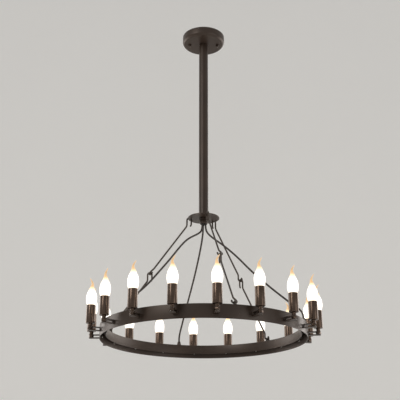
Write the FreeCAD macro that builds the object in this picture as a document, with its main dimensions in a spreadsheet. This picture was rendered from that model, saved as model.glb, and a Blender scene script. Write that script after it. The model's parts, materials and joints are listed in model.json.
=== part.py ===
import FreeCAD, Part
import math
import os
import re
import Sketcher
from FreeCAD import Placement, Rotation, Vector

# A wagon wheel chandelier.  A round canopy and a straight down rod carry a small hub plate.
# Three chains of two hooked rods hang from the hub plate and carry a rolled channel ring.
# Eighteen candle lamps stand outside the ring on strap brackets.  Three power cords run from
# the outlet under the hub to glands on top of the ring.
# Frame: the ceiling plane is z = 0, the down rod's axis is x = y = 0, +Z is up.
# Headings run anticlockwise seen from above, and 0 degrees is +X.

doc = FreeCAD.newDocument("WagonWheelChandelier")

# ------------------------------------------------------------------ driving dimensions (mm)

SIZES = [
    # ceiling fixing
    ("bar_length", 124), ("bar_width", 22), ("bar_thick", 2.5), ("bar_drop", 10),
    ("bar_middle", 34), ("bar_ramp", 5),
    ("slot_offset", 33), ("slot_long", 16), ("slot_wide", 5.2),
    ("stud_offset", 53), ("stud_width", 5), ("stud_engage", 7.5),
    ("ground_offset", 45.7), ("ground_width", 4), ("ground_head", 7), ("ground_head_thick", 2.6),
    ("ground_neck", 0.5),
    ("stem_width", 16), ("stem_bore", 12), ("stem_rise", 7), ("stem_reach", 11),
    ("stem_nut_flats", 24), ("stem_nut_thick", 4),
    # canopy and its cap nuts
    ("canopy_width", 160), ("canopy_depth", 32), ("canopy_wall", 1.2), ("canopy_round", 12),
    ("canopy_rod_gap", 0.6), ("cap_nut_flats", 9), ("cap_nut_skirt", 5), ("cap_nut_dome", 4.6),
    ("cap_nut_end_gap", 0.5), ("cap_nut_seat_gap", 0.3),
    # down rod
    ("rod_width", 34), ("rod_wall", 1.5), ("plug_thick", 12), ("plug_gap", 0.05),
    ("hub_drop", 744),
    # hub
    ("hub_width", 112), ("hub_thick", 3), ("hub_hole_circle", 45), ("hub_hole", 12),
    ("hub_stem_width", 20), ("hub_stem_bore", 15), ("hub_stem_rise", 11), ("hub_stem_reach", 15),
    ("hub_nut_flats", 27), ("hub_nut_thick", 5),
    ("outlet_width", 28), ("outlet_length", 16), ("outlet_chamfer", 2), ("grommet_width", 22),
    ("grommet_thick", 4),
    # suspension rods
    ("wire", 6), ("hook_bend", 8), ("hook_leg", 22), ("hook_free_leg", 17), ("hook_toe", 9),
    ("hook_toe_lean", 24), ("shaft_bend", 16), ("tail_lean", 28), ("tail_bend", 8),
    ("tail_tip", 4), ("tail_sweep", 190), ("link_gap", 0.3),
    # wheel ring
    ("ring_width", 700), ("ring_section", 22), ("ring_depth", 45), ("ring_inner_leg", 32),
    ("ring_sheet", 1.8), ("ring_round", 1.5), ("ring_drop", 1138), ("eye_wire", 5),
    ("eye_bend", 8), ("eye_stand", 5.7),
    # ring wiring
    ("gland_width", 14), ("gland_barrel", 8.4), ("gland_taper", 5.6), ("gland_neck", 9),
    ("gland_shank", 10),
    ("gland_shank_length", 10), ("gland_nut_flats", 14), ("gland_nut_thick", 3),
    ("harness_width", 7), ("harness_drop", 14.1), ("clip_wide", 8), ("clip_long", 12),
    ("clip_skin", 1.2), ("clip_gap", 0.05),
    # candle lamps
    ("lamp_reach", 35), ("lamp_rise", 51), ("sleeve_width", 31), ("sleeve_length", 60),
    ("sleeve_wall", 1), ("sleeve_floor", 1.5),
    ("collar_width", 15), ("collar_waist", 12.8), ("collar_rim", 3),
    ("collar_height", 11), ("collar_ease", 0.6),
    ("pipe_width", 10), ("pipe_bore", 7), ("pipe_rise", 12), ("pipe_end", 3.5),
    ("lamp_nut_flats", 15), ("lamp_nut_thick", 6),
    ("strap_wide", 16), ("strap_thick", 2.5), ("strap_height", 27), ("strap_bend", 1.5),
    ("screw_width", 4), ("screw_head", 7.5), ("screw_head_thick", 2.4), ("screw_length", 9),
    ("screw_nut_flats", 7), ("screw_nut_thick", 3.2), ("screw_nut_gap", 0.1),
    ("socket_width", 24), ("socket_below_rim", 9), ("socket_pipe_depth", 12),
    ("cap_width", 14), ("cap_length", 22), ("contact_width", 5), ("contact_length", 2),
    ("socket_gap", 0.2), ("socket_well_spare", 1),
    # bulb glass, measured from the mouth of the sleeve
    ("glass_neck", 16), ("glass_width", 35), ("glass_widest", 24), ("glass_shoulder", 58),
    ("glass_shoulder_width", 18.5), ("tail_foot", 68), ("tail_foot_width", 10),
    ("tail_rise", 23), ("tail_side", 7), ("tail_tip_width", 2.6),
    # general clearances
    ("thread_gap", 0.05), ("hole_gap", 0.15), ("overshoot", 1),
]

sheet = doc.addObject("Spreadsheet::Sheet", "Sizes")
for row, (alias, value) in enumerate(SIZES, start=1):
    sheet.set(f"A{row}", alias.replace("_", " "))
    sheet.set(f"B{row}", str(value))
    sheet.setAlias(f"B{row}", alias)
doc.recompute()

LAMP_COUNT = 18
CHAIN_COUNT = 3
FIRST_LAMP = -84.27        # heading of lamp 1
FIRST_CHAIN = -74.3        # heading of chain 1, midway between two lamps
FIRST_CORD = -14.3         # heading of power cord 1, midway between two chains
CORD_WIDTH = 6.5
CORD_ARC_SHARE = 0.45      # part of the shorter run beside a bend that its arc may take
CLIP_COUNT = 6
FIRST_CLIP = FIRST_CORD + 30

# Shape of the bulb glass, as shares of the stretch that each arc spans.
CHEEK_OUT, CHEEK_UP = 0.72, 0.36
FLANK_IN, THROAT_IN = 0.36, 0.33
TIP_RINGS = 4
TIP_TAPER = 0.8

# Heading in which the bent tip of each bulb points.
TIP_HEADINGS = [20, -10, 15, -25, 5, 30, 150, 40, -160, 170, 60, 200, -30, 10, 185, -35, 25, -5]

# Power cord routes as (distance from the axis, height), from the hub outlet to the ring gland.
CORD_START = [(7, -768), (7, -788)]
CORD_END = [(325, -1091), (339, -1109), (339, -1124)]
CORD_MIDDLES = [
    [(16, -806), (38, -826), (76, -856), (120, -898), (166, -950), (214, -997), (264, -1042),
     (303, -1075)],
    [(13, -808), (30, -835), (62, -872), (110, -919), (166, -965), (220, -1006), (268, -1045),
     (303, -1074)],
    [(18, -804), (44, -820), (82, -843), (120, -882), (160, -930), (206, -980), (256, -1034),
     (300, -1073)],
]


# Places worked out from the driving dimensions.
LAMP_CIRCLE = "( ring_width / 2 + lamp_reach )"
RING_MIDDLE = "( ring_width / 2 - ring_section / 2 )"
STUD_LENGTH = "( canopy_depth + cap_nut_seat_gap + stud_engage )"
ROD_TOP = "-1 * ( bar_drop + bar_thick + stem_nut_thick )"
SLEEVE_TOP = "-1 * ring_drop + lamp_rise"
SLEEVE_LOW = "-1 * ring_drop + lamp_rise - sleeve_length"
STRAP_TOP = "-1 * ring_drop + lamp_rise - sleeve_length - collar_height"


def size(alias):
    """The number held by one cell of the sheet."""
    return float(sheet.get(alias))


def cell(text):
    """An expression in which each word that is an alias reads its cell."""
    names = {alias for alias, _ in SIZES}
    return re.sub(r"[a-z_]+", lambda found: f"Sizes.{found[0]}" if found[0] in names else found[0],
                  text)


def evaluate(text):
    """The present value of an expression, for the first draft of a sketch."""
    numbers = dict(SIZES)
    return float(FreeCAD.Units.Quantity(re.sub(r"[a-z_]+", lambda found: str(numbers[found[0]]),
                                               text)).Value)


# ------------------------------------------------------------------ building blocks

def bind(thing, **expressions):
    """Bind properties of one object to the sheet."""
    for key, text in expressions.items():
        thing.setExpression(key.replace("__", "."), cell(text))
    return thing


def seat(thing, x="0", y="0", z="0"):
    """Bind an object's place to the sheet."""
    return bind(thing, Placement__Base__x=x, Placement__Base__y=y, Placement__Base__z=z)


def cylinder(name, width, height, z, x="0", y="0"):
    thing = doc.addObject("Part::Cylinder", name)
    bind(thing, Radius=f"( {width} ) / 2", Height=height)
    return seat(thing, x, y, z)


def hexagon(name, flats, height, z, x="0"):
    thing = doc.addObject("Part::Prism", name)
    thing.Polygon = 6
    bind(thing, Circumradius=f"( {flats} ) / 2 / cos(30)", Height=height)
    return seat(thing, x, "0", z)


def block(name, x, y, z, length, width, height):
    thing = doc.addObject("Part::Box", name)
    bind(thing, Length=length, Width=width, Height=height)
    return seat(thing, x, y, z)


def cut(name, base, tool):
    thing = doc.addObject("Part::Cut", name)
    thing.Base = base
    thing.Tool = tool
    return thing


def fuse(name, *shapes):
    thing = doc.addObject("Part::MultiFuse", name)
    thing.Shapes = list(shapes)
    return thing


def label(thing, name):
    thing.Label = name
    return thing


def through(name, width, height, z, x="0"):
    """A cylinder that cuts right through a piece of a height that stands at z."""
    return cylinder(name, width, f"{height} + 2 * overshoot", f"{z} - overshoot", x)


def tube(name, outer, bore, z, height, x="0"):
    """A round tube: an outer cylinder less a longer bore."""
    body = cylinder(name + "_outside", outer, height, z, x)
    return cut(name, body, through(name + "_bore", bore, height, z, x))


def nut(name, flats, bore, z, height, x="0"):
    """A hexagon nut with a plain bore."""
    body = hexagon(name + "_hex", flats, height, z, x)
    return cut(name, body, through(name + "_bore", bore, height, z, x))


def plane_of(body, role):
    """One of the body's own origin planes."""
    return next(item for item in body.Origin.OriginFeatures if item.Role == role)


def profile(body, name, corners):
    """A closed outline on the body's XZ plane, each corner bound to the sheet."""
    sketch = body.newObject("Sketcher::SketchObject", name)
    sketch.AttachmentSupport = (plane_of(body, "XZ_Plane"), [""])
    sketch.MapMode = "FlatFace"
    places = [(evaluate(x), evaluate(y)) for x, y in corners]
    count = len(places)
    for index in range(count):
        first = Vector(*places[index], 0)
        second = Vector(*places[(index + 1) % count], 0)
        sketch.addGeometry(Part.LineSegment(first, second), False)
    for index in range(count):
        sketch.addConstraint(Sketcher.Constraint("Coincident", index, 2, (index + 1) % count, 1))
    for index, (across, upward) in enumerate(corners):
        for kind, text, number in (("DistanceX", across, places[index][0]),
                                   ("DistanceY", upward, places[index][1])):
            held = sketch.addConstraint(Sketcher.Constraint(kind, -1, 1, index, 1, number))
            sketch.setExpression(f"Constraints[{held}]", cell(text))
    return sketch


def turned(name, corners):
    """A body of revolution about Z from a closed outline in the XZ plane."""
    body = doc.addObject("PartDesign::Body", name)
    sketch = profile(body, name + "_outline", corners)
    turn = body.newObject("PartDesign::Revolution", name + "_turn")
    turn.Profile = sketch
    turn.ReferenceAxis = (sketch, ["V_Axis"])
    turn.Angle = 360
    body.Tip = turn
    return body


def around(name, master, count, first):
    """Copies of a piece made at heading 0, set round the axis as separate solids."""
    copies = []
    for index in range(count):
        copy = master.Shape.copy()
        copy.Placement = Placement(Vector(), Rotation(Vector(0, 0, 1), first + 360 / count * index))\
            .multiply(copy.Placement)
        copies.append(copy)
    group = doc.addObject("Part::Feature", name)
    group.Shape = Part.makeCompound(copies)
    group.Placement = Placement()
    return group


def solid_feature(name, shape, heading=0):
    """A free-form solid, set at its heading."""
    thing = doc.addObject("Part::Feature", name)
    thing.Shape = shape
    thing.Placement = Placement(Vector(), Rotation(Vector(0, 0, 1), heading))
    return thing


# ------------------------------------------------------------------ wires with tangent arcs

def rounded_wire(points, radii):
    """Straight runs joined by tangent arcs: one radius for each inner point."""
    edges = []
    here = points[0]
    for index in range(1, len(points) - 1):
        before = (points[index - 1] - points[index]).normalize()
        after = (points[index + 1] - points[index]).normalize()
        half_turn = (math.pi - before.getAngle(after)) / 2
        setback = radii[index - 1] * math.tan(half_turn)
        start = points[index] + before * setback
        finish = points[index] + after * setback
        toward = (before + after).normalize()
        middle = points[index] + toward * (radii[index - 1] / math.cos(half_turn) - radii[index - 1])
        if (start - here).Length > 1e-4:
            edges.append(Part.LineSegment(here, start).toShape())
        edges.append(Part.Arc(start, middle, finish).toShape())
        here = finish
    if (points[-1] - here).Length > 1e-4:
        edges.append(Part.LineSegment(here, points[-1]).toShape())
    return edges


def swept(edges, width, start, direction):
    """A round rod along joined edges."""
    path = Part.Wire(edges)
    ring = Part.Wire([Part.Circle(start, direction, width / 2).toShape()])
    return path.makePipeShell([ring], True, False)


# ------------------------------------------------------------------ ceiling fixing

def make_crossbar():
    """A joggled strap: flat feet on the ceiling and a dropped middle for the stem."""
    body = doc.addObject("PartDesign::Body", "crossbar_strap")
    half, mid, ramp = "bar_length / 2", "bar_middle / 2", "( bar_middle / 2 + bar_ramp )"
    corners = [
        (f"-1 * {half}", "0"), (f"-1 * {ramp}", "0"), (f"-1 * {mid}", "-1 * bar_drop"),
        (mid, "-1 * bar_drop"), (ramp, "0"), (half, "0"), (half, "-1 * bar_thick"),
        (ramp, "-1 * bar_thick"), (mid, "-1 * bar_drop - bar_thick"),
        (f"-1 * {mid}", "-1 * bar_drop - bar_thick"), (f"-1 * {ramp}", "-1 * bar_thick"),
        (f"-1 * {half}", "-1 * bar_thick"),
    ]
    sketch = profile(body, "crossbar_outline", corners)
    pad = body.newObject("PartDesign::Pad", "crossbar_pad")
    pad.Profile = sketch
    bind(pad, Length="bar_width")
    pad.Midplane = True
    body.Tip = pad
    under = "-1 * bar_thick"
    holes = [through("stem_hole", "stem_width + 2 * hole_gap", "bar_drop + bar_thick",
                     "-1 * bar_drop - bar_thick")]
    for side, sign in (("left", "-1"), ("right", "1")):
        holes.append(through(f"stud_hole_{side}", "stud_width + 2 * thread_gap", "bar_thick",
                             under, f"{sign} * stud_offset"))
        for end, shift in (("inner", "-1"), ("outer", "1")):
            reach = f"{sign} * ( slot_offset + {shift} * ( slot_long - slot_wide ) / 2 )"
            holes.append(through(f"slot_{side}_{end}", "slot_wide", "bar_thick", under, reach))
        start = f"{sign} * slot_offset - ( slot_long - slot_wide ) / 2"
        holes.append(block(f"slot_{side}_middle", start, "-1 * slot_wide / 2",
                           f"{under} - overshoot", "slot_long - slot_wide", "slot_wide",
                           "bar_thick + 2 * overshoot"))
    holes.append(through("ground_hole", "ground_width + 2 * thread_gap", "bar_thick", under,
                         "-1 * ground_offset"))
    return label(cut("crossbar_drilled", body, fuse("crossbar_holes", *holes)),
                 "ceiling_crossbar")


def make_ceiling_hardware():
    """Studs, ground screw, threaded stem and its two lock nuts."""
    studs = [cylinder(f"stud_{side}", "stud_width", STUD_LENGTH, f"-1 * {STUD_LENGTH}",
                      f"{sign} * stud_offset") for side, sign in (("left", "-1"), ("right", "1"))]
    pair = doc.addObject("Part::Compound", "stud_pair")
    pair.Links = studs
    head_low = "-1 * bar_thick - ground_head_thick"
    screw = fuse("ground_screw_solid",
                 cylinder("ground_head_disc", "ground_head", "ground_head_thick", head_low,
                          "-1 * ground_offset"),
                 cylinder("ground_shank", "ground_width", "bar_thick + ground_neck",
                          "-1 * bar_thick - ground_neck", "-1 * ground_offset"))
    stem_low = "-1 * bar_drop - bar_thick - stem_nut_thick - stem_reach"
    stem_tall = "stem_rise + bar_thick + stem_nut_thick + stem_reach"
    stem = tube("stem_tube", "stem_width", "stem_bore", stem_low, stem_tall)
    bore = "stem_width + 2 * thread_gap"
    upper = nut("stem_nut_upper", "stem_nut_flats", bore, "-1 * bar_drop", "stem_nut_thick")
    lower = nut("stem_nut_lower", "stem_nut_flats", bore,
                "-1 * bar_drop - bar_thick - stem_nut_thick", "stem_nut_thick")
    nuts = doc.addObject("Part::Compound", "stem_nut_pair")
    nuts.Links = [upper, lower]
    return [label(pair, "canopy_studs"), label(screw, "ground_screw"),
            label(stem, "ceiling_stem"), label(nuts, "stem_lock_nuts")]


def make_canopy():
    """A spun dish with a rounded lower edge, a rod hole and two stud holes."""
    body = turned("canopy_dish", [
        ("( rod_width + canopy_rod_gap ) / 2", "-1 * canopy_depth"),
        ("canopy_width / 2", "-1 * canopy_depth"),
        ("canopy_width / 2", "0"),
        ("canopy_width / 2 - canopy_wall", "0"),
        ("canopy_width / 2 - canopy_wall", "-1 * canopy_depth + canopy_wall"),
        ("( rod_width + canopy_rod_gap ) / 2", "-1 * canopy_depth + canopy_wall"),
    ])
    doc.recompute()
    body.Tip = round_corner(body, "canopy_width / 2", "-1 * canopy_depth", "canopy_round", "outer")
    doc.recompute()
    body.Tip = round_corner(body, "canopy_width / 2 - canopy_wall",
                            "-1 * canopy_depth + canopy_wall", "canopy_round - canopy_wall",
                            "inner")
    holes = [through(f"canopy_hole_{side}", "stud_width + 4 * hole_gap", "canopy_wall",
                     "-1 * canopy_depth", f"{sign} * stud_offset")
             for side, sign in (("left", "-1"), ("right", "1"))]
    return label(cut("canopy_drilled", body, fuse("canopy_holes", *holes)), "canopy")


def round_corner(body, radius, height, rounding, name):
    """Round the circular edge of a turned body that lies at a radius and a height."""
    base = body.Tip
    want_radius, want_height = evaluate(radius), evaluate(height)
    found = []
    for number, edge in enumerate(base.Shape.Edges, start=1):
        curve = edge.Curve
        if isinstance(curve, Part.Circle) and abs(curve.Radius - want_radius) < 1e-3 \
                and abs(curve.Center.z - want_height) < 1e-3:
            found.append(f"Edge{number}")
    fillet = body.newObject("PartDesign::Fillet", f"{body.Name}_{name}_round")
    fillet.Base = (base, found)
    bind(fillet, Radius=rounding)
    return fillet


def make_cap_nut(side, sign):
    """A domed cap nut below the canopy on one stud."""
    x = f"{sign} * stud_offset"
    top = "-1 * canopy_depth - cap_nut_seat_gap"
    skirt = hexagon(f"cap_skirt_{side}", "cap_nut_flats", "cap_nut_skirt",
                    f"{top} - cap_nut_skirt", x)
    dome = doc.addObject("Part::Sphere", f"cap_dome_{side}")
    bind(dome, Radius="cap_nut_dome")
    dome.Angle1 = -90
    dome.Angle2 = 0
    seat(dome, x, "0", f"{top} - cap_nut_skirt")
    neck = cylinder(f"cap_neck_{side}", "2 * cap_nut_dome", "cap_nut_skirt / 2",
                    f"{top} - cap_nut_skirt", x)
    deep = "stud_engage + cap_nut_end_gap"
    bore = cylinder(f"cap_bore_{side}", "stud_width + 2 * thread_gap", f"{deep} + overshoot",
                    f"{top} - ( {deep} )", x)
    shell = fuse(f"cap_shell_{side}", skirt, dome, neck)
    return label(cut(f"cap_drilled_{side}", shell, bore), f"cap_nut_{side}")


# ------------------------------------------------------------------ down rod and hub

def make_down_rod():
    """The tube and the threaded plugs in its two ends."""
    height = f"hub_drop + {ROD_TOP}"
    rod = tube("rod_tube", "rod_width", "rod_width - 2 * rod_wall", "-1 * hub_drop", height)
    plug_width = "rod_width - 2 * rod_wall - 2 * plug_gap"
    top = tube("plug_top", plug_width, "stem_width + 2 * thread_gap",
               f"{ROD_TOP} - plug_thick", "plug_thick")
    end = tube("plug_end", plug_width, "hub_stem_width + 2 * thread_gap", "-1 * hub_drop",
               "plug_thick")
    return [label(rod, "down_rod"), label(top, "rod_top_plug"), label(end, "rod_end_plug")]


def make_hub_plate():
    """A round plate with a stem hole and three holes whose outer webs carry the rod hooks."""
    body = doc.addObject("PartDesign::Body", "hub_disc")
    sketch = body.newObject("Sketcher::SketchObject", "hub_outline")
    sketch.AttachmentSupport = (plane_of(body, "XY_Plane"), [""])
    sketch.MapMode = "FlatFace"
    for alias in ("hub_width", "hub_stem_width"):
        ring = sketch.addGeometry(Part.Circle(Vector(), Vector(0, 0, 1), size(alias) / 2), False)
        sketch.addConstraint(Sketcher.Constraint("Coincident", ring, 3, -1, 1))
        held = sketch.addConstraint(Sketcher.Constraint("Diameter", ring, size(alias)))
        extra = " + 2 * hole_gap" if alias == "hub_stem_width" else ""
        sketch.setExpression(f"Constraints[{held}]", cell(alias + extra))
    pad = body.newObject("PartDesign::Pad", "hub_pad")
    pad.Profile = sketch
    bind(pad, Length="hub_thick")
    hole_sketch = body.newObject("Sketcher::SketchObject", "hub_hole_outline")
    hole_sketch.AttachmentSupport = (plane_of(body, "XY_Plane"), [""])
    hole_sketch.MapMode = "FlatFace"
    heading = math.radians(FIRST_CHAIN)
    centre = Vector(size("hub_hole_circle") * math.cos(heading),
                    size("hub_hole_circle") * math.sin(heading), 0)
    ring = hole_sketch.addGeometry(Part.Circle(centre, Vector(0, 0, 1), size("hub_hole") / 2), False)
    held = hole_sketch.addConstraint(Sketcher.Constraint("Diameter", ring, size("hub_hole")))
    hole_sketch.setExpression(f"Constraints[{held}]", cell("hub_hole"))
    for kind, part, number in (("DistanceX", "cos", centre.x), ("DistanceY", "sin", centre.y)):
        held = hole_sketch.addConstraint(Sketcher.Constraint(kind, -1, 1, ring, 3, number))
        hole_sketch.setExpression(f"Constraints[{held}]",
                                  f"Sizes.hub_hole_circle * {part}({FIRST_CHAIN})")
    pocket = body.newObject("PartDesign::Pocket", "hub_hole")
    pocket.Profile = hole_sketch
    pocket.Type = 1
    pocket.Midplane = True
    doc.recompute()
    pattern = body.newObject("PartDesign::PolarPattern", "hub_holes")
    pattern.Originals = [pocket]
    pattern.Axis = (plane_of(body, "Z_Axis"), [""])
    pattern.Angle = 360
    pattern.Occurrences = CHAIN_COUNT
    body.Tip = pattern
    seat(body, z="-1 * hub_drop - hub_thick")
    return label(body, "hub_plate")


def make_hub_hardware():
    """The hollow stem, its nut and the cord outlet with its grommet."""
    under = "-1 * hub_drop - hub_thick"
    stem = tube("hub_stem_tube", "hub_stem_width", "hub_stem_bore", f"{under} - hub_stem_reach",
                "hub_stem_rise + hub_thick + hub_stem_reach")
    lock = nut("hub_nut_solid", "hub_nut_flats", "hub_stem_width + 2 * thread_gap",
               f"{under} - hub_nut_thick", "hub_nut_thick")
    cup_top = f"{under} - hub_nut_thick"
    cup_low = f"{cup_top} - outlet_length"
    thread = "( hub_stem_width / 2 + thread_gap )"
    mouth = "( grommet_width / 2 + thread_gap )"
    shoulder = f"{cup_low} + grommet_thick"
    cup = turned("outlet_cup", [
        (thread, cup_top), ("outlet_width / 2", cup_top),
        ("outlet_width / 2", f"{cup_low} + outlet_chamfer"),
        ("outlet_width / 2 - outlet_chamfer", cup_low), (mouth, cup_low), (mouth, shoulder),
        (thread, shoulder),
    ])
    grommet = cylinder("grommet_disc", "grommet_width", "grommet_thick", cup_low)
    return [label(stem, "hub_stem"), label(lock, "hub_nut"), label(cup, "cord_outlet"),
            label(grommet, "outlet_grommet")]


# ------------------------------------------------------------------ suspension rods

def rim_pivot():
    """Where an upper rod turns on the hub rim: distance from the axis and height."""
    hole_edge = size("hub_hole_circle") + size("hub_hole") / 2
    web_middle = (hole_edge + size("hub_width") / 2) / 2
    half_web = size("hub_width") / 2 - web_middle
    inner = size("hook_bend") - size("wire") / 2
    rise = math.sqrt(inner ** 2 - half_web ** 2)
    bend_centre = -size("hub_drop") - rise + size("link_gap")
    return Vector(web_middle, 0, bend_centre + pivot_above_bend())


def pivot_above_bend():
    """Height of a hook's turning point above the centre of its bend."""
    return size("hook_bend") - size("wire") - size("link_gap")


def eye_pivot():
    """Where a lower rod turns in its eye on the ring."""
    return Vector(evaluate(RING_MIDDLE), 0, -size("ring_drop") + size("eye_stand"))


def rod_length():
    """Length of one suspension rod between its turning points."""
    return (eye_pivot() - rim_pivot()).Length / 2


def make_rod(name, top, heading):
    """One hooked rod: a hairpin at its top, a sloping shaft and a hook turned sideways."""
    wire, bend = size("wire"), size("hook_bend")
    slope = (eye_pivot() - rim_pivot()).normalize()
    side = Vector(0, 1, 0)
    up = Vector(0, 0, 1)
    out = Vector(1, 0, 0)
    centre = top - up * pivot_above_bend()
    # hairpin: a toe, the free leg, the half turn and the leg that becomes the shaft
    lean = math.radians(size("hook_toe_lean"))
    leg_low = centre - out * bend - up * size("hook_free_leg")
    toe = leg_low + (out * math.sin(lean) - up * math.cos(lean)) * size("hook_toe")
    leg_top = centre - out * bend
    shaft_top = centre + out * bend
    edges = rounded_wire([toe, leg_low, leg_top], [size("tail_bend")])
    edges.append(Part.Arc(leg_top, centre + up * bend, shaft_top).toShape())
    # shaft: down from the hairpin, then along the slope to the bend before the lower hook
    length = rod_length()
    tail_lean = math.radians(size("tail_lean"))
    run_end = length - bend - bend * math.sin(tail_lean)
    tail_run = bend * math.cos(tail_lean) / math.sin(tail_lean)
    bottom = top + slope * length
    hook_centre = bottom - slope * bend
    knee = top + slope * (run_end - tail_run * math.cos(tail_lean))
    crook = top + slope * run_end + side * bend * math.cos(tail_lean)
    elbow = shaft_top - up * size("hook_leg")
    edges += rounded_wire([shaft_top, elbow, knee, crook], [size("shaft_bend"), size("tail_bend")])
    # lower hook: more than a half turn in the plane of the slope and the ring's tangent
    sweep = math.radians(size("tail_sweep"))

    def on_hook(angle):
        return hook_centre + slope * (bend * math.sin(angle)) + side * (bend * math.cos(angle))

    edges.append(Part.Arc(crook, on_hook((sweep - tail_lean) / 2), on_hook(sweep)).toShape())
    tip = on_hook(sweep) + (slope * math.cos(sweep) - side * math.sin(sweep)) * size("tail_tip")
    edges.append(Part.LineSegment(on_hook(sweep), tip).toShape())
    shape = swept(edges, wire, toe, leg_low - toe)
    return solid_feature(name, shape, heading)


def make_rods():
    rods = []
    for index in range(CHAIN_COUNT):
        heading = FIRST_CHAIN + 360 / CHAIN_COUNT * index
        link = rim_pivot() + (eye_pivot() - rim_pivot()) * 0.5
        rods.append(make_rod(f"upper_rod_{index + 1}", rim_pivot(), heading))
        rods.append(make_rod(f"lower_rod_{index + 1}", link, heading))
    return rods


# ------------------------------------------------------------------ power cords

def cord_points(index):
    """A cord's route as points in its own upright plane."""
    route = CORD_START + CORD_MIDDLES[index] + CORD_END
    return [Vector(across, 0, height) for across, height in route]


def make_cord(index):
    """A round cord: straight runs joined by arcs as large as the runs allow."""
    points = cord_points(index)
    radii = []
    for here in range(1, len(points) - 1):
        before = points[here - 1] - points[here]
        after = points[here + 1] - points[here]
        half_turn = (math.pi - before.getAngle(after)) / 2
        radii.append(CORD_ARC_SHARE * min(before.Length, after.Length) / math.tan(half_turn))
    edges = rounded_wire(points, radii)
    shape = swept(edges, CORD_WIDTH, points[0], Vector(0, 0, -1))
    length = sum(edge.Length for edge in edges)
    expected = math.pi * CORD_WIDTH ** 2 / 4 * length
    print(f"power_cord_{index + 1}: length {length:.1f}, least radius {min(radii):.1f}, "
          f"radii {[round(radius) for radius in radii]}, "
          f"volume / (section x length) {shape.Volume / expected:.4f}")
    heading = FIRST_CORD + 360 / CHAIN_COUNT * index
    return solid_feature(f"power_cord_{index + 1}", shape, heading)


# ------------------------------------------------------------------ wheel ring

def make_ring():
    """A rolled channel: full outer leg, shorter inner leg, drilled for screws and glands."""
    outer = "ring_width / 2"
    inner = "( ring_width / 2 - ring_section )"
    top = "-1 * ring_drop"
    body = turned("ring_channel", [
        (inner, top), (outer, top), (outer, f"{top} - ring_depth"),
        (f"{outer} - ring_sheet", f"{top} - ring_depth"),
        (f"{outer} - ring_sheet", f"{top} - ring_sheet"),
        (f"{inner} + ring_sheet", f"{top} - ring_sheet"),
        (f"{inner} + ring_sheet", f"{top} - ring_inner_leg"), (inner, f"{top} - ring_inner_leg"),
    ])
    doc.recompute()
    body.Tip = round_corner(body, outer, top, "ring_round", "outer")
    doc.recompute()
    body.Tip = round_corner(body, inner, top, "ring_round", "inner")
    over = size("overshoot")
    depth = size("ring_sheet") + 2 * over
    drills = []
    for index in range(CHAIN_COUNT):
        start = Vector(evaluate(RING_MIDDLE), 0, -size("ring_drop") - size("ring_sheet") - over)
        drills.append(drill(size("gland_shank") / 2 + size("hole_gap"), start, Vector(0, 0, 1),
                            depth, FIRST_CORD + 360 / CHAIN_COUNT * index))
    for index in range(LAMP_COUNT):
        start = Vector(size("ring_width") / 2 - size("ring_sheet") - over, 0, screw_height())
        drills.append(drill(size("screw_width") / 2 + size("hole_gap"), start, Vector(1, 0, 0),
                            depth, FIRST_LAMP + 360 / LAMP_COUNT * index))
    tools = doc.addObject("Part::Feature", "ring_drills")
    tools.Shape = Part.makeCompound(drills)
    return label(cut("ring_drilled", body, tools), "wheel_ring")


def drill(radius, start, direction, depth, heading):
    """A cylinder that cuts one hole, at its heading."""
    tool = Part.makeCylinder(radius, depth, start, direction)
    tool.rotate(Vector(), Vector(0, 0, 1), heading)
    return tool


def make_eyes():
    """Three staples welded across the top of the ring."""
    wire, bend = size("eye_wire"), size("eye_bend")
    pivot = eye_pivot()
    crown = pivot.z + size("wire") / 2 + size("link_gap") + wire / 2
    left = Vector(pivot.x - bend, 0, -size("ring_drop"))
    right = Vector(pivot.x + bend, 0, -size("ring_drop"))
    up_left = Vector(left.x, 0, crown - bend)
    up_right = Vector(right.x, 0, crown - bend)
    edges = [Part.LineSegment(left, up_left).toShape(),
             Part.Arc(up_left, Vector(pivot.x, 0, crown), up_right).toShape(),
             Part.LineSegment(up_right, right).toShape()]
    master = doc.addObject("Part::Feature", "eye_master")
    master.Shape = swept(edges, wire, left, Vector(0, 0, 1))
    return label(around("ring_eye_set", master, CHAIN_COUNT, FIRST_CHAIN), "ring_eyes")


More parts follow.
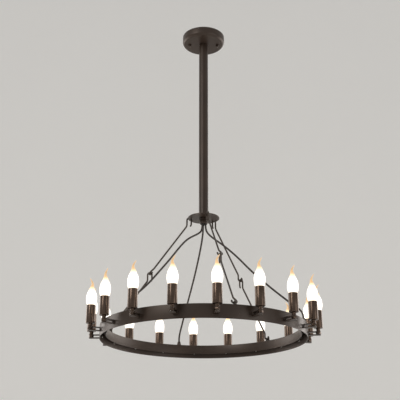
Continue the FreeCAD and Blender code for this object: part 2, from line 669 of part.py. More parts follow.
def make_ring_wiring():
    """Cord glands with their nuts, the wiring loop in the channel and its clips."""
    top = "-1 * ring_drop"
    barrel = cylinder("gland_barrel_solid", "gland_width", "gland_barrel", top, RING_MIDDLE)
    cone = doc.addObject("Part::Cone", "gland_cone")
    bind(cone, Radius1="gland_width / 2", Radius2="gland_neck / 2", Height="gland_taper")
    seat(cone, RING_MIDDLE, "0", f"{top} + gland_barrel")
    shank = cylinder("gland_shank_solid", "gland_shank", "gland_shank_length",
                     f"{top} - gland_shank_length", RING_MIDDLE)
    gland = fuse("gland_master", barrel, cone, shank)
    lock = nut("gland_nut_master", "gland_nut_flats", "gland_shank + 2 * thread_gap",
               f"{top} - ring_sheet - gland_nut_thick", "gland_nut_thick", RING_MIDDLE)
    loop = doc.addObject("Part::Torus", "harness_loop")
    bind(loop, Radius1=RING_MIDDLE, Radius2="harness_width / 2")
    seat(loop, z=f"{top} - harness_drop")
    clip_low = f"{top} - harness_drop - harness_width / 2 - clip_skin"
    clip_body = block("clip_block", f"{RING_MIDDLE} - clip_long / 2", "-1 * clip_wide / 2", clip_low,
                      "clip_long", "clip_wide",
                      "harness_drop + harness_width / 2 + clip_skin - ring_sheet")
    groove = doc.addObject("Part::Torus", "clip_groove")
    bind(groove, Radius1=RING_MIDDLE, Radius2="harness_width / 2 + clip_gap")
    seat(groove, z=f"{top} - harness_drop")
    clip = cut("clip_master", clip_body, groove)
    doc.recompute()
    return [label(around("gland_set", gland, CHAIN_COUNT, FIRST_CORD), "ring_glands"),
            label(around("gland_nut_set", lock, CHAIN_COUNT, FIRST_CORD), "gland_nuts"),
            label(loop, "wiring_loop"),
            label(around("clip_set", clip, CLIP_COUNT, FIRST_CLIP), "wiring_clips")]


# ------------------------------------------------------------------ candle lamps

def screw_height():
    """Height of the bracket screw, half way down the strap."""
    return evaluate(STRAP_TOP) - size("strap_height") / 2


def make_bracket():
    """A flat strap bent to a C with round arm ends, holed for the pipe and for its screw."""
    low = f"{STRAP_TOP} - strap_height"
    face, back = "ring_width / 2", "ring_width / 2 + strap_thick"
    end = f"{LAMP_CIRCLE} + strap_wide / 2"
    body = doc.addObject("PartDesign::Body", "bracket_strap")
    sketch = profile(body, "bracket_outline", [
        (face, low), (end, low), (end, f"{low} + strap_thick"), (back, f"{low} + strap_thick"),
        (back, f"{STRAP_TOP} - strap_thick"), (end, f"{STRAP_TOP} - strap_thick"),
        (end, STRAP_TOP), (face, STRAP_TOP),
    ])
    pad = body.newObject("PartDesign::Pad", "bracket_pad")
    pad.Profile = sketch
    bind(pad, Length="strap_wide")
    pad.Midplane = True
    body.Tip = pad
    doc.recompute()
    body.Tip = round_bends(body, face, [low, STRAP_TOP], "strap_bend + strap_thick", "outer")
    doc.recompute()
    body.Tip = round_bends(body, back, [f"{low} + strap_thick", f"{STRAP_TOP} - strap_thick"],
                           "strap_bend", "inner")
    plan = fuse("bracket_plan",
                block("plan_run", face, "-1 * strap_wide / 2", low, "lamp_reach", "strap_wide",
                      "strap_height"),
                cylinder("plan_end", "strap_wide", "strap_height", low, LAMP_CIRCLE))
    strap = doc.addObject("Part::Common", "bracket_rounded")
    strap.Base = body
    strap.Tool = plan
    hole = through("pipe_hole", "pipe_width + 2 * hole_gap", "strap_height", low, LAMP_CIRCLE)
    screw_hole = cylinder("strap_screw_hole", "screw_width + 2 * hole_gap",
                          "strap_thick + 2 * overshoot", "0")
    lay_outward(screw_hole, f"{face} - overshoot", f"{low} + strap_height / 2")
    return cut("bracket_master", strap, fuse("bracket_holes", hole, screw_hole))


def round_bends(body, reach, heights, rounding, name):
    """Round the edges across a strap that lie at a reach and at given heights."""
    base = body.Tip
    want_reach = evaluate(reach)
    want_heights = [evaluate(height) for height in heights]
    found = []
    for number, edge in enumerate(base.Shape.Edges, start=1):
        first, last = edge.Vertexes[0].Point, edge.Vertexes[-1].Point
        level = any(abs(first.z - height) < 1e-3 for height in want_heights)
        across = abs(first.x - last.x) < 1e-3 and abs(first.z - last.z) < 1e-3
        if level and across and abs(first.x - want_reach) < 1e-3:
            found.append(f"Edge{number}")
    fillet = body.newObject("PartDesign::Fillet", f"{body.Name}_{name}_bends")
    fillet.Base = (base, found)
    bind(fillet, Radius=rounding)
    return fillet


def lay_outward(thing, x, z):
    """Turn an upright piece so that it points away from the axis."""
    thing.Placement = Placement(Vector(), Rotation(Vector(0, 1, 0), 90))
    return seat(thing, x, "0", z)


def make_screw():
    """A pan head screw through the strap and the ring's outer leg, and its nut inside."""
    height = f"{STRAP_TOP} - strap_height / 2"
    face = "ring_width / 2 + strap_thick"
    head = lay_outward(cylinder("screw_head_disc", "screw_head", "screw_head_thick", "0"), face,
                       height)
    shank = lay_outward(cylinder("screw_shank", "screw_width", "screw_length", "0"),
                        f"{face} - screw_length", height)
    back = hexagon("screw_nut_hex", "screw_nut_flats", "screw_nut_thick", "0")
    hole = cylinder("screw_nut_bore", "screw_width + 2 * thread_gap",
                    "screw_nut_thick + 2 * overshoot", "0")
    inside = "ring_width / 2 - ring_sheet - screw_nut_gap - screw_nut_thick"
    lay_outward(back, inside, height)
    lay_outward(hole, f"{inside} - overshoot", height)
    return fuse("screw_master", head, shank), cut("screw_nut_master", back, hole)


def make_lamp_stack():
    """Sleeve, collar, threaded pipe, nut and socket of one lamp, at heading 0."""
    x = LAMP_CIRCLE
    shell = cylinder("sleeve_shell", "sleeve_width", "sleeve_length", SLEEVE_LOW, x)
    hollow = cylinder("sleeve_hollow", "sleeve_width - 2 * sleeve_wall", "sleeve_length",
                      f"{SLEEVE_LOW} + sleeve_floor", x)
    floor_hole = through("sleeve_floor_hole", "pipe_width + 2 * hole_gap", "sleeve_floor",
                         SLEEVE_LOW, x)
    sleeve = cut("sleeve_master", shell, fuse("sleeve_room", hollow, floor_hole))
    collar = seat(make_collar(), x)
    pipe_low = f"{STRAP_TOP} - strap_thick - lamp_nut_thick - pipe_end"
    pipe = tube("pipe_master", "pipe_width", "pipe_bore", pipe_low,
                "pipe_rise + collar_height + strap_thick + lamp_nut_thick + pipe_end", x)
    lock = nut("lamp_nut_master", "lamp_nut_flats", "pipe_width + 2 * thread_gap",
               f"{STRAP_TOP} - strap_thick - lamp_nut_thick", "lamp_nut_thick", x)
    socket_low = f"{SLEEVE_LOW} + sleeve_floor"
    socket_tall = "sleeve_length - sleeve_floor - socket_below_rim"
    shell = cylinder("socket_shell", "socket_width", socket_tall, socket_low, x)
    well_deep = "cap_length + contact_length + socket_well_spare"
    well = cylinder("socket_well", "cap_width + 2 * socket_gap", f"{well_deep} + overshoot",
                    f"{SLEEVE_TOP} - socket_below_rim - ( {well_deep} )", x)
    foot = cylinder("socket_foot", "pipe_width + 2 * thread_gap", "socket_pipe_depth",
                    f"{SLEEVE_LOW}", x)
    socket = cut("socket_master", shell, fuse("socket_room", well, foot))
    return [(sleeve, "candle_sleeves"), (collar, "candle_collars"), (pipe, "candle_pipes"),
            (lock, "candle_nuts"), (socket, "candle_sockets")]


def make_collar():
    """A turned collar with two rims and a narrower waist, on the Z axis."""
    bore = "( pipe_width / 2 + thread_gap )"
    rim, waist = "collar_width / 2", "collar_waist / 2"
    top = SLEEVE_LOW
    return turned("collar_master", [
        (bore, STRAP_TOP), (f"{rim} - collar_ease", STRAP_TOP),
        (rim, f"{STRAP_TOP} + collar_ease"), (rim, f"{STRAP_TOP} + collar_rim"),
        (waist, f"{STRAP_TOP} + collar_rim + collar_width / 2 - collar_waist / 2"),
        (waist, f"{top} - collar_rim - collar_width / 2 + collar_waist / 2"),
        (rim, f"{top} - collar_rim"), (rim, f"{top} - collar_ease"),
        (f"{rim} - collar_ease", top), (bore, top),
    ])


def make_bulb_shape():
    """A tear-shaped glass with a bent tip on a screw cap, on the Z axis, mouth at z = 0."""
    neck, widest = size("glass_neck") / 2, size("glass_width") / 2
    low, belly = -size("socket_below_rim"), size("glass_widest")
    shoulder, shoulder_r = size("glass_shoulder"), size("glass_shoulder_width") / 2
    foot, foot_r = size("tail_foot"), size("tail_foot_width") / 2
    cap_r, contact_r = size("cap_width") / 2, size("contact_width") / 2
    cap_low = low - size("cap_length")
    nub_low = cap_low - size("contact_length")

    def at(radius, height):
        return Vector(radius, 0, height)

    cheek = at(neck + (widest - neck) * CHEEK_OUT, low + (belly - low) * CHEEK_UP)
    flank = at(widest - (widest - shoulder_r) * FLANK_IN, (belly + shoulder) / 2)
    throat = at(foot_r + (shoulder_r - foot_r) * THROAT_IN, (shoulder + foot) / 2)
    outline = Part.Wire([
        Part.LineSegment(at(0, nub_low), at(contact_r, nub_low)).toShape(),
        Part.LineSegment(at(contact_r, nub_low), at(cap_r, cap_low)).toShape(),
        Part.LineSegment(at(cap_r, cap_low), at(cap_r, low)).toShape(),
        Part.LineSegment(at(cap_r, low), at(neck, low)).toShape(),
        Part.Arc(at(neck, low), cheek, at(widest, belly)).toShape(),
        Part.Arc(at(widest, belly), flank, at(shoulder_r, shoulder)).toShape(),
        Part.Arc(at(shoulder_r, shoulder), throat, at(foot_r, foot)).toShape(),
        Part.LineSegment(at(foot_r, foot), at(0, foot)).toShape(),
        Part.LineSegment(at(0, foot), at(0, nub_low)).toShape(),
    ])
    glass = Part.Face(outline).revolve(Vector(), Vector(0, 0, 1), 360)
    return glass.fuse(make_tip_shape(foot, foot_r))


def make_tip_shape(foot, foot_r):
    """The drawn-out tip: circles lofted along an arc that leans over sideways."""
    rise, over = size("tail_rise"), size("tail_side")
    tip_r = size("tail_tip_width") / 2
    bend = (rise ** 2 + over ** 2) / (2 * over)
    full = 2 * math.atan2(over, rise)
    rings = []
    for step in range(TIP_RINGS):
        share = step / (TIP_RINGS - 1)
        angle = full * share
        centre = Vector(bend - bend * math.cos(angle), 0, foot + bend * math.sin(angle))
        direction = Vector(math.sin(angle), 0, math.cos(angle))
        radius = foot_r + (tip_r - foot_r) * share ** TIP_TAPER
        rings.append(Part.Wire([Part.Circle(centre, direction, radius).toShape()]))
    return Part.makeLoft(rings, True, False)


def make_bulbs():
    """Eighteen bulbs, each turned on its own axis so that its tip points its own way."""
    shape = make_bulb_shape()
    bulbs = []
    for index in range(LAMP_COUNT):
        heading = FIRST_LAMP + 360 / LAMP_COUNT * index
        circle = evaluate(LAMP_CIRCLE)
        place = Vector(circle * math.cos(math.radians(heading)),
                       circle * math.sin(math.radians(heading)), evaluate(SLEEVE_TOP))
        bulb = doc.addObject("Part::Feature", f"bulb_{index + 1:02d}")
        bulb.Shape = shape.copy()
        bulb.Placement = Placement(place, Rotation(Vector(0, 0, 1), TIP_HEADINGS[index]))
        bulbs.append(bulb)
    return bulbs


def make_lamps():
    bracket = make_bracket()
    screw, screw_nut = make_screw()
    stack = make_lamp_stack()
    doc.recompute()
    sets = [(bracket, "candle_brackets"), (screw, "bracket_screws"), (screw_nut, "bracket_nuts")]
    return [label(around(name + "_set", master, LAMP_COUNT, FIRST_LAMP), name)
            for master, name in sets + stack]


# ------------------------------------------------------------------ assembly

nodes = [make_crossbar()] + make_ceiling_hardware()
nodes.append(make_canopy())
nodes.append(make_cap_nut("left", "-1"))
nodes.append(make_cap_nut("right", "1"))
nodes += make_down_rod()
nodes.append(make_hub_plate())
nodes += make_hub_hardware()
nodes += make_rods()
nodes += [make_cord(index) for index in range(CHAIN_COUNT)]
nodes.append(make_ring())
nodes.append(make_eyes())
nodes += make_ring_wiring()
nodes += make_lamps()
nodes += make_bulbs()
doc.recompute()

for thing in doc.Objects:
    if "Invalid" in thing.State or "Error" in thing.State:
        raise RuntimeError(f"{thing.Label} did not build")
for node in nodes:
    if node.Shape.isNull() or not node.Shape.isValid() or not node.Shape.Solids:
        raise RuntimeError(f"{node.Label} has no sound solid")

os.makedirs("parts", exist_ok=True)
for node in nodes:
    node.Shape.exportStep(f"parts/{node.Label}.step")
print(f"{len(nodes)} nodes, {sum(len(node.Shape.Solids) for node in nodes)} solids")
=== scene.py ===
import json
import math

import bmesh
import bpy
import numpy as np
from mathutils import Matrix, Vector

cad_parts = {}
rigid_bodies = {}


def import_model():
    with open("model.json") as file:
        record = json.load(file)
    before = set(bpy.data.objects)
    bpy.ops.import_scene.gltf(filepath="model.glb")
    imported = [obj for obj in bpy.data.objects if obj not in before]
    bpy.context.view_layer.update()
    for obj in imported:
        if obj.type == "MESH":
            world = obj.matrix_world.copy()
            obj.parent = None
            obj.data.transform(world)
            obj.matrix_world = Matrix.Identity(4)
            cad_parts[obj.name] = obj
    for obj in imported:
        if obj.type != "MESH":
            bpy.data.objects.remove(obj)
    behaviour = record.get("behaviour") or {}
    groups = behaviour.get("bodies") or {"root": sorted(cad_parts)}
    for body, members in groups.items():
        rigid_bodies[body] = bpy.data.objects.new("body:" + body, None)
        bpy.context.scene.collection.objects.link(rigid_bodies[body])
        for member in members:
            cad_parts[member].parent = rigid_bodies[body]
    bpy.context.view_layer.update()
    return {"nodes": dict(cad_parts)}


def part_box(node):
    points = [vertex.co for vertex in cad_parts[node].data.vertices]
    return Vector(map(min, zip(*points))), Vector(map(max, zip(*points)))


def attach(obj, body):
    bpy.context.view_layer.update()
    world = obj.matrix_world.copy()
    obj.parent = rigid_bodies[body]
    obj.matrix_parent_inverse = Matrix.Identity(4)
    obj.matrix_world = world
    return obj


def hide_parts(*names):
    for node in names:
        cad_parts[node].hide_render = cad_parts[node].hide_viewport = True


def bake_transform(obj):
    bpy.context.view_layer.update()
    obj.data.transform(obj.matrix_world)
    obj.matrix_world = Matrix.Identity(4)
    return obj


# A wagon wheel chandelier: canopy, down rod, hub plate, three chains of hooked rods, a channel
# ring and eighteen candle lamps.  Metres, +Z up, z = 0 in the ceiling plane, the rod on the Z axis.

for leftover in list(bpy.data.objects):
    bpy.data.objects.remove(leftover)
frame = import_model()
NODES = frame["nodes"]
MM = 0.001


def heights(node):
    """Lowest and highest point of a node."""
    return [corner.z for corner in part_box(node)]


# ------------------------------------------------------------------ the object's own values

LAMP_COUNT = 18
CHAIN_COUNT = 3
FIRST_LAMP = math.radians(-84.27)
FIRST_CHAIN = math.radians(-74.3)
FIRST_CORD = math.radians(-14.3)
LAMP_CIRCLE = 0.385
TIP_HEADINGS = [20, -10, 15, -25, 5, 30, 150, 40, -160, 170, 60, 200, -30, 10, 185, -35, 25, -5]

RING_LOW, RING_TOP = heights("wheel_ring")
RING_OUTER = 0.350
RING_SECTION = 0.022
RING_INNER_LEG = 0.032
RING_SHEET = 0.0018
RING_MIDDLE = RING_OUTER - RING_SECTION / 2

SLEEVE_LOW, SLEEVE_TOP = heights("candle_sleeves")
STRAP_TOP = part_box("candle_brackets")[1].z
STRAP_HEIGHT = 0.0125
HUB_LOW, HUB_TOP = heights("hub_plate")
OUTLET_LOW, OUTLET_TOP = heights("cord_outlet")
GLAND_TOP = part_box("ring_glands")[1].z
CANOPY_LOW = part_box("canopy")[0].z

STUD_OFFSET = 0.053
STEM_BORE = 0.01006
WIRE = 0.006
HOOK_BEND = 0.008
LINK_GAP = 0.0003
CORD_WIDTH = 0.0065
CORD_START = [(0.007, -0.768), (0.007, -0.788)]
CORD_END = [(0.325, -1.091), (0.339, -1.109), (0.339, -1.124)]
CORD_MIDDLES = [
    [(0.016, -0.806), (0.038, -0.826), (0.076, -0.856), (0.120, -0.898), (0.166, -0.950),
     (0.214, -0.997), (0.264, -1.042), (0.303, -1.075)],
    [(0.013, -0.808), (0.030, -0.835), (0.062, -0.872), (0.110, -0.919), (0.166, -0.965),
     (0.220, -1.006), (0.268, -1.045), (0.303, -1.074)],
    [(0.018, -0.804), (0.044, -0.820), (0.082, -0.843), (0.120, -0.882), (0.160, -0.930),
     (0.206, -0.980), (0.256, -1.034), (0.300, -1.073)],
]

LAMP_HEADINGS = [FIRST_LAMP + math.tau / LAMP_COUNT * i for i in range(LAMP_COUNT)]
CHAIN_HEADINGS = [FIRST_CHAIN + math.tau / CHAIN_COUNT * i for i in range(CHAIN_COUNT)]
CORD_HEADINGS = [FIRST_CORD + math.tau / CHAIN_COUNT * i for i in range(CHAIN_COUNT)]


# ------------------------------------------------------------------ surfaces

def link_mesh(name, points, faces, smooth_angle=35):
    """A mesh object from points and faces, smooth but for edges sharper than the angle."""
    mesh = bpy.data.meshes.new(name)
    mesh.from_pydata(points.reshape(-1, 3).tolist(), [], faces)
    mesh.validate()
    mesh.polygons.foreach_set("use_smooth", np.ones(len(mesh.polygons), bool))
    mesh.set_sharp_from_angle(angle=math.radians(smooth_angle))
    piece = bpy.data.objects.new(name, mesh)
    bpy.context.scene.collection.objects.link(piece)
    return piece


def grid_faces(rows, columns, wrap_rows, wrap_columns):
    """Quads of a rows x columns grid; a wrapped direction closes on itself."""
    row = np.arange(rows if wrap_rows else rows - 1)
    column = np.arange(columns if wrap_columns else columns - 1)
    i, j = np.meshgrid(row, column, indexing="ij")
    i2, j2 = (i + 1) % rows, (j + 1) % columns
    quads = np.stack([i * columns + j, i2 * columns + j, i2 * columns + j2, i * columns + j2], -1)
    return quads.reshape(-1, 4)


def capped(rings, low, high):
    """Points and faces of a stack of rings, closed by a fan of triangles at each end."""
    rows, sides = rings.shape[:2]
    faces = grid_faces(rows, sides, False, True)[:, ::-1].tolist()
    first, last, top = rows * sides, rows * sides + 1, (rows - 1) * sides
    for k in range(sides):
        n = (k + 1) % sides
        faces += [[first, n, k], [last, top + k, top + n]]
    return np.concatenate([rings.reshape(-1, 3), [low, high]]), faces


def round_outline(corners, radii, steps=4):
    """A closed outline with each corner rounded: points on the arc tangent to both sides."""
    corners = np.asarray(corners, float)
    count = len(corners)
    if np.isscalar(radii):
        radii = [radii] * count
    points = []
    for k in range(count):
        here, before, after = corners[k], corners[k - 1], corners[(k + 1) % count]
        a, b = before - here, after - here
        la, lb = np.linalg.norm(a), np.linalg.norm(b)
        a, b = a / la, b / lb
        half = math.acos(np.clip(a @ b, -1, 1)) / 2
        if radii[k] <= 0 or half > math.pi / 2 - 0.02:
            points.append(here)
            continue
        reach = min(radii[k] / math.tan(half), 0.49 * la, 0.49 * lb)
        radius = reach * math.tan(half)
        centre = here + (a + b) / np.linalg.norm(a + b) * radius / math.sin(half)
        start, finish = here + a * reach - centre, here + b * reach - centre
        turn = math.pi - 2 * half
        share = np.linspace(0, 1, steps + 1)[:, None]
        arc = (start * np.sin((1 - share) * turn) + finish * np.sin(share * turn)) / math.sin(turn)
        points.extend(centre + arc)
    return np.array(points)


def turned_points(outline, segments, flats=0):
    """Grid of an outline (radius, height) carried round Z.  flats > 0 makes it a polygon prism
    with that many sides, where the outline's radius is the distance to a flat."""
    angle = np.arange(segments) / segments * math.tau
    radius = np.ones(segments)
    if flats:
        part = math.tau / flats
        radius = 1 / np.cos(angle % part - part / 2)
    r, z = outline[:, 0], outline[:, 1]
    return np.stack([np.outer(np.cos(angle) * radius, r), np.outer(np.sin(angle) * radius, r),
                     np.outer(np.ones(segments), z)], -1)


def turned_shape(outline, segments, flats=0):
    """Points and faces of a closed outline turned about Z: a ring-shaped surface."""
    outline = np.asarray(outline, float)
    area = np.sum(outline[:, 0] * np.roll(outline[:, 1], -1)
                  - np.roll(outline[:, 0], -1) * outline[:, 1])
    if area < 0:
        outline = outline[::-1]
    grid = turned_points(outline, segments, flats)
    return grid.reshape(-1, 3), grid_faces(segments, len(outline), True, True)


def turned_solid(outline, segments, flats=0):
    """Points and faces of an outline from the axis to the axis, turned about Z: its first and
    last points are poles, and it runs upwards so that the faces look outwards."""
    outline = np.asarray(outline, float)
    rings = turned_points(outline[1:-1], segments, flats).transpose(1, 0, 2)
    return capped(rings, (0, 0, outline[0, 1]), (0, 0, outline[-1, 1]))


def turn_about_axis(points, heading):
    """Points turned about the rod's axis: x' = x cos h - y sin h, y' = x sin h + y cos h."""
    c, s = math.cos(heading), math.sin(heading)
    return points @ np.array([[c, s, 0], [-s, c, 0], [0, 0, 1]])


def joined(*shapes):
    """Several shapes as one."""
    points, faces, shift = [], [], 0
    for shape_points, shape_faces in shapes:
        points.append(shape_points)
        faces += [[int(v) + shift for v in face] for face in shape_faces]
        shift += len(shape_points)
    return np.concatenate(points), faces


def moved(shape, offset):
    """A shape at p + offset."""
    return shape[0] + np.asarray(offset), shape[1]


def spread(shape, headings, radius, height=0.0):
    """Copies of a shape, its own x axis looking outwards, round the rod at a radius."""
    points, faces = moved(shape, (radius, 0, height))
    return joined(*[(turn_about_axis(points, heading), faces) for heading in headings])


def lying(shape):
    """A shape turned about Z laid along +X: (x, y, z) becomes (z, y, -x)."""
    points, faces = shape
    return np.stack([points[:, 2], points[:, 1], -points[:, 0]], -1), faces


def tube_shape(path, radius, sides=12, closed=False, round_ends=True):
    """A round tube along path points: circles in planes carried along without twist.  radius is
    one number or one for each point.  Open ends are domed."""
    path = np.array(path, float)
    count = len(path)
    radius = np.broadcast_to(np.asarray(radius, float), (count,)).copy()
    if closed:
        tangent = np.roll(path, -1, 0) - np.roll(path, 1, 0)
    else:
        tangent = np.gradient(path, axis=0)
    tangent /= np.linalg.norm(tangent, axis=1)[:, None]
    guide = np.array([0, 0, 1.0]) if abs(tangent[0][2]) < 0.9 else np.array([1.0, 0, 0])
    normals = np.cross(tangent, guide)
    if not closed:
        normal = normals[0]
        for k in range(count):
            normal = normal - tangent[k] * (normal @ tangent[k])
            normal /= np.linalg.norm(normal)
            normals[k] = normal
    normals /= np.linalg.norm(normals, axis=1)[:, None]
    side = np.cross(tangent, normals)
    if not closed and round_ends:
        dome = np.array([0.95, 0.75, 0.35])
        ahead = np.array([0.25, 0.62, 0.93])
        r0, r1 = radius[0], radius[-1]
        path[0] += tangent[0] * r0 * ahead[-1]
        path[-1] -= tangent[-1] * r1 * ahead[-1]
        path = np.concatenate([path[0] - tangent[0] * r0 * ahead[::-1, None], path,
                               path[-1] + tangent[-1] * r1 * ahead[:, None]])
        radius = np.concatenate([dome[::-1] * r0, radius, dome * r1])
        normals = np.concatenate([np.repeat(normals[:1], 3, 0), normals,
                                  np.repeat(normals[-1:], 3, 0)])
        side = np.concatenate([np.repeat(side[:1], 3, 0), side, np.repeat(side[-1:], 3, 0)])
        count += 6
    angle = np.arange(sides) / sides * math.tau
    c, s = np.cos(angle)[None, :, None], np.sin(angle)[None, :, None]
    grid = path[:, None] + radius[:, None, None] * (c * normals[:, None] + s * side[:, None])
    if closed:
        return grid.reshape(-1, 3), grid_faces(count, sides, True, True)[:, ::-1].tolist()
    return capped(grid, path[0], path[-1])


def finish_piece(name, shape, body, material, replaces=(), smooth_angle=35):
    """Make the mesh, give it its material, tie it to its body and hide the nodes that it replaces.
    """
    piece = link_mesh(name, shape[0], [list(map(int, face)) for face in shape[1]], smooth_angle)
    piece.data.materials.append(material)
    if body:
        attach(piece, body)
    if replaces:
        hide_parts(*replaces)
    return piece


def hexagon_nut(flats, bore, low, high, chamfer):
    """A hexagon nut: a prism whose corners are cut by a cone at both faces, and a plain bore."""
    segments = 48
    shape = turned_shape(round_outline([(bore, low), (flats, low), (flats, high), (bore, high)],
                                       [0, 0.0004, 0.0004, 0]), segments, 6)
    points = shape[0]
    radius = np.hypot(points[:, 0], points[:, 1])
    reach = flats * 1.155
    cone = np.minimum(high - points[:, 2], points[:, 2] - low)
    limit = reach - chamfer + cone * 1.8
    keep = np.where(radius > flats * 0.98, np.minimum(1, limit / np.maximum(radius, 1e-9)), 1)
    bore_row = radius < bore * 1.2
    inner = np.where(bore_row, bore / np.maximum(radius, 1e-9), keep)
    points[:, 0] *= inner
    points[:, 1] *= inner
    return points, shape[1]


def threaded_rod(radius, bore, low, high, pitch, depth, segments=24):
    """A tube whose outside is a row of thread ridges between low and high."""
    turns = max(2, int(round((high - low) / pitch)))
    z = np.linspace(low, high, 2 * turns + 1)
    r = radius - depth * (np.arange(2 * turns + 1) % 2 == 0)
    outside = np.stack([r, z], -1)
    if bore <= 0:
        return turned_solid(np.concatenate([[[0, low]], outside, [[0, high]]]), segments)
    return turned_shape(np.concatenate([outside, [[bore, high], [bore, low]]]), segments)


# ------------------------------------------------------------------ node groups and materials

def new_group(name, inputs, outputs):
    """An empty shader node group with named inputs and outputs."""
    group = bpy.data.node_groups.new(name, "ShaderNodeTree")
    for label, kind, value in inputs:
        socket = group.interface.new_socket(label, in_out="INPUT", socket_type=kind)
        socket.default_value = value
    for label, kind in outputs:
        group.interface.new_socket(label, in_out="OUTPUT", socket_type=kind)
    return group, group.nodes.new("NodeGroupInput"), group.nodes.new("NodeGroupOutput")


def noise_node(tree, coordinates, scale, detail, roughness=0.5):
    node = tree.nodes.new("ShaderNodeTexNoise")
    node.inputs["Scale"].default_value = scale
    node.inputs["Detail"].default_value = detail
    node.inputs["Roughness"].default_value = roughness
    tree.links.new(coordinates, node.inputs["Vector"])
    return node


def ramp(tree, value, low, high):
    """Map a value from low..high to 0..1."""
    node = tree.nodes.new("ShaderNodeMapRange")
    node.inputs["From Min"].default_value = low
    node.inputs["From Max"].default_value = high
    tree.links.new(value, node.inputs["Value"])
    return node.outputs["Result"]


def feed(tree, value, socket):
    """Give a node's socket another socket, a colour or a number."""
    if isinstance(value, bpy.types.NodeSocket):
        tree.links.new(value, socket)
    else:
        socket.default_value = (*value, 1) if isinstance(value, tuple) else value


def mix_colour(tree, share, first, second, blend="MIX"):
    """Blend two colours; the share and the colours are sockets or constants."""
    node = tree.nodes.new("ShaderNodeMix")
    node.data_type = "RGBA"
    node.blend_type = blend
    feed(tree, share, node.inputs["Factor"])
    feed(tree, first, node.inputs["A"])
    feed(tree, second, node.inputs["B"])
    return node.outputs["Result"]


def wire_finish(group, entry, leave, colour, drift, drift_share, grain, strength, distance):
    """Outputs of a finish group: its colour, its roughness with a drift, a bump from a grain."""
    group.links.new(colour, leave.inputs["Colour"])
    rough = group.nodes.new("ShaderNodeMath")
    rough.operation = "MULTIPLY_ADD"
    for value, socket in zip((drift, drift_share, entry.outputs["Roughness"]), rough.inputs):
        feed(group, value, socket)
    group.links.new(rough.outputs[0], leave.inputs["Roughness"])
    bump = group.nodes.new("ShaderNodeBump")
    bump.inputs["Distance"].default_value = distance
    feed(group, strength, bump.inputs["Strength"])
    group.links.new(grain, bump.inputs["Height"])
    group.links.new(bump.outputs["Normal"], leave.inputs["Normal"])


def build_worn_paint():
    """Painted or lacquered metal: a broad tone drift, a fine orange peel and rubbed spots."""
    group, entry, leave = new_group(
        "worn_paint",
        [("Vector", "NodeSocketVector", (0, 0, 0)), ("Colour", "NodeSocketColor", (0, 0, 0, 1)),
         ("Rubbed", "NodeSocketColor", (0, 0, 0, 1)), ("Roughness", "NodeSocketFloat", 0.4),
         ("Peel", "NodeSocketFloat", 0.1)],
        [("Colour", "NodeSocketColor"), ("Roughness", "NodeSocketFloat"),
         ("Normal", "NodeSocketVector")])
    place = entry.outputs["Vector"]
    drift = noise_node(group, place, 9, 4)
    spots = noise_node(group, place, 160, 5, 0.65)
    peel = noise_node(group, place, 900, 2)
    tone = mix_colour(group, ramp(group, drift.outputs["Fac"], 0.35, 0.7), entry.outputs["Colour"],
                      entry.outputs["Rubbed"])
    faint = mix_colour(group, 0.28, entry.outputs["Colour"], tone)
    specks = ramp(group, spots.outputs["Fac"], 0.64, 0.72)
    colour = mix_colour(group, specks, faint, entry.outputs["Rubbed"])
    wire_finish(group, entry, leave, colour, drift.outputs["Fac"], 0.16, peel.outputs["Fac"],
                entry.outputs["Peel"], 0.00012)
    return group


def build_turned_grain():
    """Fine rings left by turning or drawing: noise squeezed along the rod's direction."""
    group, entry, leave = new_group(
        "turned_grain",
        [("Vector", "NodeSocketVector", (0, 0, 0)), ("Colour", "NodeSocketColor", (0, 0, 0, 1)),
         ("Light", "NodeSocketColor", (0, 0, 0, 1)), ("Roughness", "NodeSocketFloat", 0.3)],
        [("Colour", "NodeSocketColor"), ("Roughness", "NodeSocketFloat"),
         ("Normal", "NodeSocketVector")])
    squeeze = group.nodes.new("ShaderNodeMapping")
    squeeze.inputs["Scale"].default_value = (30, 30, 2600)
    group.links.new(entry.outputs["Vector"], squeeze.inputs["Vector"])
    lines = noise_node(group, squeeze.outputs["Vector"], 1, 3)
    cloud = noise_node(group, entry.outputs["Vector"], 35, 3)
    share = group.nodes.new("ShaderNodeMath")
    share.operation = "MULTIPLY"
    group.links.new(lines.outputs["Fac"], share.inputs[0])
    group.links.new(cloud.outputs["Fac"], share.inputs[1])
    colour = mix_colour(group, ramp(group, share.outputs[0], 0.12, 0.42),
                        entry.outputs["Colour"], entry.outputs["Light"])
    wire_finish(group, entry, leave, colour, lines.outputs["Fac"], 0.12, lines.outputs["Fac"],
                0.25, 0.00005)
    return group


WORN_PAINT = build_worn_paint()
TURNED_GRAIN = build_turned_grain()


def new_material(name, roughness=0.5, metallic=0.0):
    """An empty Principled material and its place socket."""
    material = bpy.data.materials.new(name)
    material.use_nodes = True
    tree = material.node_tree
    shader = tree.nodes["Principled BSDF"]
    shader.inputs["Roughness"].default_value = roughness
    shader.inputs["Metallic"].default_value = metallic
    place = tree.nodes.new("ShaderNodeTexCoord").outputs["Object"]
    return material, tree, shader, place


def grouped_material(name, group, metallic, specular, **values):
    """A material whose colour, roughness and normal come from a shared group."""
    material, tree, shader, place = new_material(name, metallic=metallic)
    shader.inputs["Specular IOR Level"].default_value = specular
    node = tree.nodes.new("ShaderNodeGroup")
    node.node_tree = group
    tree.links.new(place, node.inputs["Vector"])
    for key, value in values.items():
        feed(tree, value, node.inputs[key])
    tree.links.new(node.outputs["Colour"], shader.inputs["Base Color"])
    tree.links.new(node.outputs["Roughness"], shader.inputs["Roughness"])
    tree.links.new(node.outputs["Normal"], shader.inputs["Normal"])
    return material


